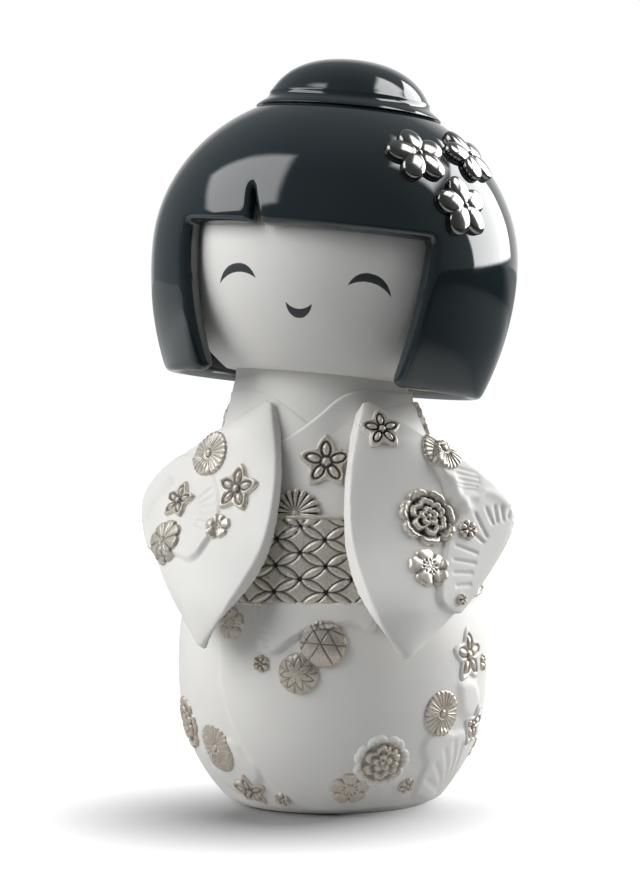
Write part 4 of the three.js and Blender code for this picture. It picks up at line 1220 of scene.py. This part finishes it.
def plum(rho, theta):
    q = petal_share(theta, 5)
    reach = 0.72 + 0.28 * np.sqrt(np.clip(1 - q**2.2, 0, 1)) - 0.05 * np.exp(-((q / 0.2) ** 2))
    seam = np.exp(-(((q - 1) / 0.2) ** 2))
    height = 0.62 + 0.25 * np.sin(pi * np.clip(rho, 0, 1)) * (1 - q**2)
    height += 0.22 * seam * soft_step(rho, 0.08, 0.2) * (1 - soft_step(rho, 0.4, 0.6))
    height -= 0.25 * seam * soft_step(rho, 0.5, 0.8)
    height -= 0.3 * soft_step(rho, 0.9, 1)
    dots = np.exp(-(((rho - 0.34) / 0.06) ** 2)) * np.exp(-(((np.abs(q) - 0.45) / 0.2) ** 2))
    eye = np.exp(-((rho / 0.1) ** 2))
    height = height - 0.25 * dots + 0.15 * eye
    # Painted shade in the seams between the petals towards the rim, and in the pits of the stamen dots.
    return reach, height, np.clip(0.6 * seam**2 * soft_step(rho, 0.5, 0.7) + 0.9 * dots, 0, 1)


def bud(rho, theta):
    q = petal_share(theta, 6)
    reach = 0.84 + 0.16 * np.sqrt(np.clip(1 - q**2, 0, 1))
    bean = np.clip(1 - ((rho - 0.62) / 0.4) ** 2, 0, 1) * np.clip(1 - (q / 0.85) ** 2, 0, 1)
    height = 0.4 + 0.7 * np.sqrt(bean)
    height = np.maximum(height, 0.4 + 0.7 * dome(rho, 0.2) * (rho < 0.2))
    # Painted shade in the gaps between the petals.
    gap = (1 - np.sqrt(bean)) * soft_step(rho, 0.16, 0.24) * (1 - soft_step(rho, 0.85, 1))
    return reach, height, np.clip(gap, 0, 1) ** 1.5


def cosmos(rho, theta):
    q = petal_share(theta, 8)
    reach = 0.8 + 0.2 * np.sqrt(np.clip(1 - q**2.5, 0, 1))
    seam = np.exp(-(((q - 1) / 0.15) ** 2)) * soft_step(rho, 0.2, 0.35)
    fold = np.exp(-((q / 0.12) ** 2)) * soft_step(rho, 0.25, 0.4) * (1 - soft_step(rho, 0.7, 0.9))
    height = 0.8 - 0.15 * seam + 0.1 * fold - 0.3 * soft_step(rho, 0.92, 1)
    height = np.where(rho < 0.2, 0.5, height)
    height = np.maximum(height, 0.5 + 0.6 * dome(rho, 0.15) * (rho < 0.15))
    # Painted shade over the whole flower, deeper in the seams and round the centre, less along each petal's
    # raised fold.
    return reach, height, np.clip(0.25 + seam - 0.5 * fold + (rho < 0.2) * (rho > 0.14), 0, 1)


def peony(rho, theta):
    """Three tiers of petals with rolled edges, with painted shade in the folds between them."""
    outer, middle, inner = petal_share(theta + 0.3, 7), petal_share(theta, 6), petal_share(theta, 5)
    reach = 0.82 + 0.18 * np.sqrt(np.clip(1 - outer**2, 0, 1)) - 0.05 * np.exp(-((outer / 0.12) ** 2))
    notch = np.exp(-(((outer - 1) / 0.22) ** 2)) * soft_step(rho, 0.62, 0.75)
    height = 0.25 + 0.7 * np.exp(-(((rho - 0.88) / 0.13) ** 2)) - 0.4 * notch
    hollow = 0.9 * (1 - soft_step(rho, 0.66 + 0.08 * outer, 0.76 + 0.08 * outer)) + 0.5 * notch
    for share, low, wide, level, roll in ((middle, 0.46, 0.22, 0.45, 0.75), (inner, 0.2, 0.16, 0.65, 0.6)):
        edge = low + wide * np.sqrt(np.clip(1 - share**2, 0, 1))
        tier = rho < edge
        height = np.where(tier, level + roll * np.exp(-(((rho - edge + 0.09) / 0.085) ** 2)), height)
        hollow = np.where(tier, 1 - soft_step(rho, edge - 0.24, edge - 0.17), hollow)
    core = rho < 0.1
    height = np.where(core, 0.75 + 0.4 * dome(rho, 0.1), height)
    return reach, height - 0.3 * soft_step(rho, 0.95, 1), np.clip(np.where(core, 0, hollow), 0, 1)


def temari_upper(rho, theta):
    x, y = rho * np.sin(theta) + 0.12, rho * np.cos(theta) - 0.1
    thread = np.zeros_like(rho)
    for turn, aside in ((0.5, 0), (-0.6, 0.05), (1.5, -0.1), (0.5, 0.5), (-0.6, -0.5), (1.2, 0.62)):
        thread = np.maximum(thread, np.exp(-(((x * np.cos(turn) + y * np.sin(turn) - aside) / 0.035) ** 2)))
    line = thread * (rho < 0.97)
    return np.ones_like(rho), 1.9 * dome(rho, 1.04) - 0.14 * line, 0.06 + 0.85 * line


def temari_lower(rho, theta):
    height = 1.8 * dome(rho, 1.04)
    q = petal_share(theta + 0.3, 7)
    star = np.exp(-(((rho - 0.35 - 0.5 * q) / 0.05) ** 2))
    ray = np.exp(-((q / 0.09) ** 2)) * (rho > 0.2)
    line = np.maximum(star, 0.8 * ray) * (rho < 0.97)
    return np.ones_like(rho), height - 0.14 * line, 0.03 + 0.8 * line


KINDS = {
    "bellflower": (bellflower, 120),
    "chrysanthemum": (chrysanthemum, 176),
    "obi_chrysanthemum": (obi_flower, 180),
    "plum": (plum, 120),
    "bud": (bud, 96),
    "cosmos": (cosmos, 128),
    "peony": (peony, 140),
    "temari_upper": (temari_upper, 120),
    "temari_lower": (temari_lower, 120),
}
RINGS = 30
SPRIG_HIGH, SKIRT_SPRIG, SPRIG_ROOT = 1.15, 0.6, 0.4
FEEL_FROM, FEEL_DOWN = 8, 30
# Sprigs whose edge the lustre leaves white
BARE_EDGED = ("skirt_peony_left", "skirt_bellflower_left", "skirt_bellflower_low_left")
# By the first part of a name that fits: how dark the painted shade in the recesses and a temari's threads
# are, how far a sprig spreads, and how it slid as it was luted
RECESS_SHADE_AND_THREADS = {
    "left_sleeve_peony": 1,
    "chest_bellflower": 0.85,
    "right_sleeve": 0.75,
    "skirt_plum_front": 0.9,
    "skirt": 0.6,
    "temari": 0.9,
}
SPREAD = {
    "left_sleeve_chrysanthemum": 0.82,
    "left_sleeve_bellflower": 0.92,
    "left_sleeve_bud_low": 0.62,
    "left_sleeve_bud": 0.8,
    "bellflower": 1.12,
    "chrysanthemum": 0.96,
    "cosmos": 0.95,
}
SETTLE = {
    "left_sleeve_chrysanthemum": (2.4, 1.8, 1.1),
    "skirt_bud_front": (0.8, 0, -1),
    "skirt_bud_foot_right": (3.6, -1, -1.2),
    "skirt_bellflower_foot_right": (2, -1, -0.4),
    "skirt_chrysanthemum_left": (-1.2, -0.8, -0.4),
    "skirt_peony_left": (0, 0.3, -1.1),
}
# Sprigs that a neighbour covers in part keep their whole round: azimuth, height, radius
TUCKED = {
    "obi_chrysanthemum": (-5.3, 71.6, 6),
    "temari_lower": (-2.8, 35.2, 4.7),
    "skirt_plum_front": (17, 7.3, 4.8),
}


def sprig(name, carrier):
    """Presses a sprig and lays it over what carries it."""
    kind = name if name in KINDS else next(k for k in KINDS if k in name)
    shape, spokes = KINDS[kind]
    cast = points_of(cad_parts[name].data)
    tree = carriers[carrier]
    if name in TUCKED:
        angle, z, radius = TUCKED[name]
        middle = wall_point(radians(angle), np.float64(z), 0)
    else:
        middle = cast.mean(0)
        radius = np.linalg.norm(cast - middle, axis=1).max()
        middle += SETTLE.get(name, (0, 0, 0))
    centre, normal, _, _ = tree.find_nearest(Vector(middle) * MM)
    up = (Vector((0, 0, 1)) - normal * normal.z).normalized()
    right = up.cross(normal)
    line = [(share, 0) for share in list(np.linspace(0, 1, RINGS)) + [1.02]]
    mesh = mesh_of(name, turned(line, spokes))
    flat = points_of(mesh)
    rho = np.hypot(flat[:, 0], flat[:, 1])
    theta = np.arctan2(flat[:, 0], -flat[:, 1])
    reach, height, hollow = shape(np.minimum(rho, 1), theta)
    low = SKIRT_SPRIG if name.startswith("skirt") else 1
    off = np.where(rho > 1.01, -SPRIG_ROOT, height * SPRIG_HIGH * low)
    spread = rho * reach * radius * next((v for k, v in SPREAD.items() if k in name), 1)
    spots = []
    for a, b, h in zip(spread * np.sin(theta), spread * np.cos(theta), off):
        start = centre + (right * a + up * b + normal * FEEL_FROM) * MM
        spot, lie, _, _ = tree.ray_cast(start, -normal, FEEL_DOWN * MM)
        if spot is None:
            spot, lie, _, _ = tree.find_nearest(start - normal * FEEL_FROM * MM)
        spots.append(spot / MM + (lie + normal).normalized() * h)
    put_points(mesh, np.array(spots))
    # Painted shade in a sprig's recesses, grooves and folds, and a temari's dark threads, as strong as its
    # name gives.
    mark(mesh, "hollow", hollow * next((v for k, v in RECESS_SHADE_AND_THREADS.items() if k in name), 1))
    if name in BARE_EDGED:
        mark(mesh, "bare", soft_step(rho, 0.8, 0.9))
    piece(mesh, lustre, "silver_lustre", name)


SLEEVED = {"left_sleeve": "sleeve_left", "right_sleeve": "sleeve_right"}
for name in sorted(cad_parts):
    if any(kind in name for kind in KINDS):
        sprig(name, next((c for k, c in SLEEVED.items() if k in name), "wall"))


# Hair blossoms: five plump petals and a bead each, pressed by hand and luted to the hair over its glaze,
# then fired with mirror platinum.
PETALS = 5
PETAL_LONG, PETAL_WIDE, PETAL_HIGH, PETAL_FULL = 7.7, 6, 3.2, 0.66
PETAL_OUT, PETAL_LIFT, BEAD = 1.06, 0.5, (1, 1, 1.6)

# Mirror platinum: a bright metal film that takes every ripple of the petal under it.
RIPPLE = 3.125
platinum, tree = material_tree("mirror_platinum")
where = node(tree, "ShaderNodeTexCoord").outputs["Object"]
ripple = node(tree, "ShaderNodeTexNoise", {"Vector": where, "Scale": 1 / (RIPPLE * MM), "Detail": 2})
tone = node(
    tree,
    "ShaderNodeMix",
    {"Factor": ripple.outputs["Fac"], 6: linear("908e8b"), 7: linear("b0aeab")},
    data_type="RGBA",
)
relief = node(
    tree,
    "ShaderNodeBump",
    {"Strength": 0.15, "Distance": 0.4 * MM, "Height": ripple.outputs["Fac"]},
)
mirror = node(
    tree,
    "ShaderNodeBsdfPrincipled",
    {
        "Base Color": tone.outputs[2],
        "Metallic": 1,
        "Roughness": 0.14,
        "Normal": relief.outputs["Normal"],
    },
)
node(tree, "ShaderNodeOutputMaterial", {"Surface": mirror.outputs[0]})

for name in ("hair_blossom_front", "hair_blossom_back", "hair_blossom_low"):
    cast = points_of(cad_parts[name].data)
    middle = cast.mean(0)
    radius = np.linalg.norm(cast - middle, axis=1).max()
    centre, normal, _, _ = carriers["hair"].find_nearest(Vector(middle) * MM)
    up = (Vector((0, 0, 1)) - normal * normal.z).normalized()
    right = up.cross(normal)
    bm = bmesh.new()
    for k in range(PETALS + 1):
        if k < PETALS:
            way = up * cos(k * tau / PETALS) + right * sin(k * tau / PETALS)
            out = PETAL_OUT * radius - PETAL_LONG / 2
            seat, lie, _, _ = carriers["hair"].find_nearest(centre + way * out * MM)
            size = (PETAL_WIDE / 2, PETAL_LONG / 2, PETAL_HIGH / 2)
        else:
            way, seat, lie, size = up, centre, normal, BEAD
        long = (way - lie * way.dot(lie)).normalized()
        wide = long.cross(lie)
        turn = Matrix((wide, long, lie)).transposed().to_4x4()
        scale = Matrix.Diagonal((*(s * MM for s in size), 1))
        place = Matrix.Translation(seat + lie * PETAL_LIFT * MM) @ turn @ scale
        ball = bmesh.ops.create_uvsphere(bm, u_segments=32, v_segments=24, radius=1)["verts"]
        for v in ball:
            v.co.z = copysign(abs(v.co.z) ** PETAL_FULL, v.co.z)
        bmesh.ops.transform(bm, matrix=place, verts=ball)
    piece(mesh_of(name, bm), platinum, "platinum_lustre", name)

low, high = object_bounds()
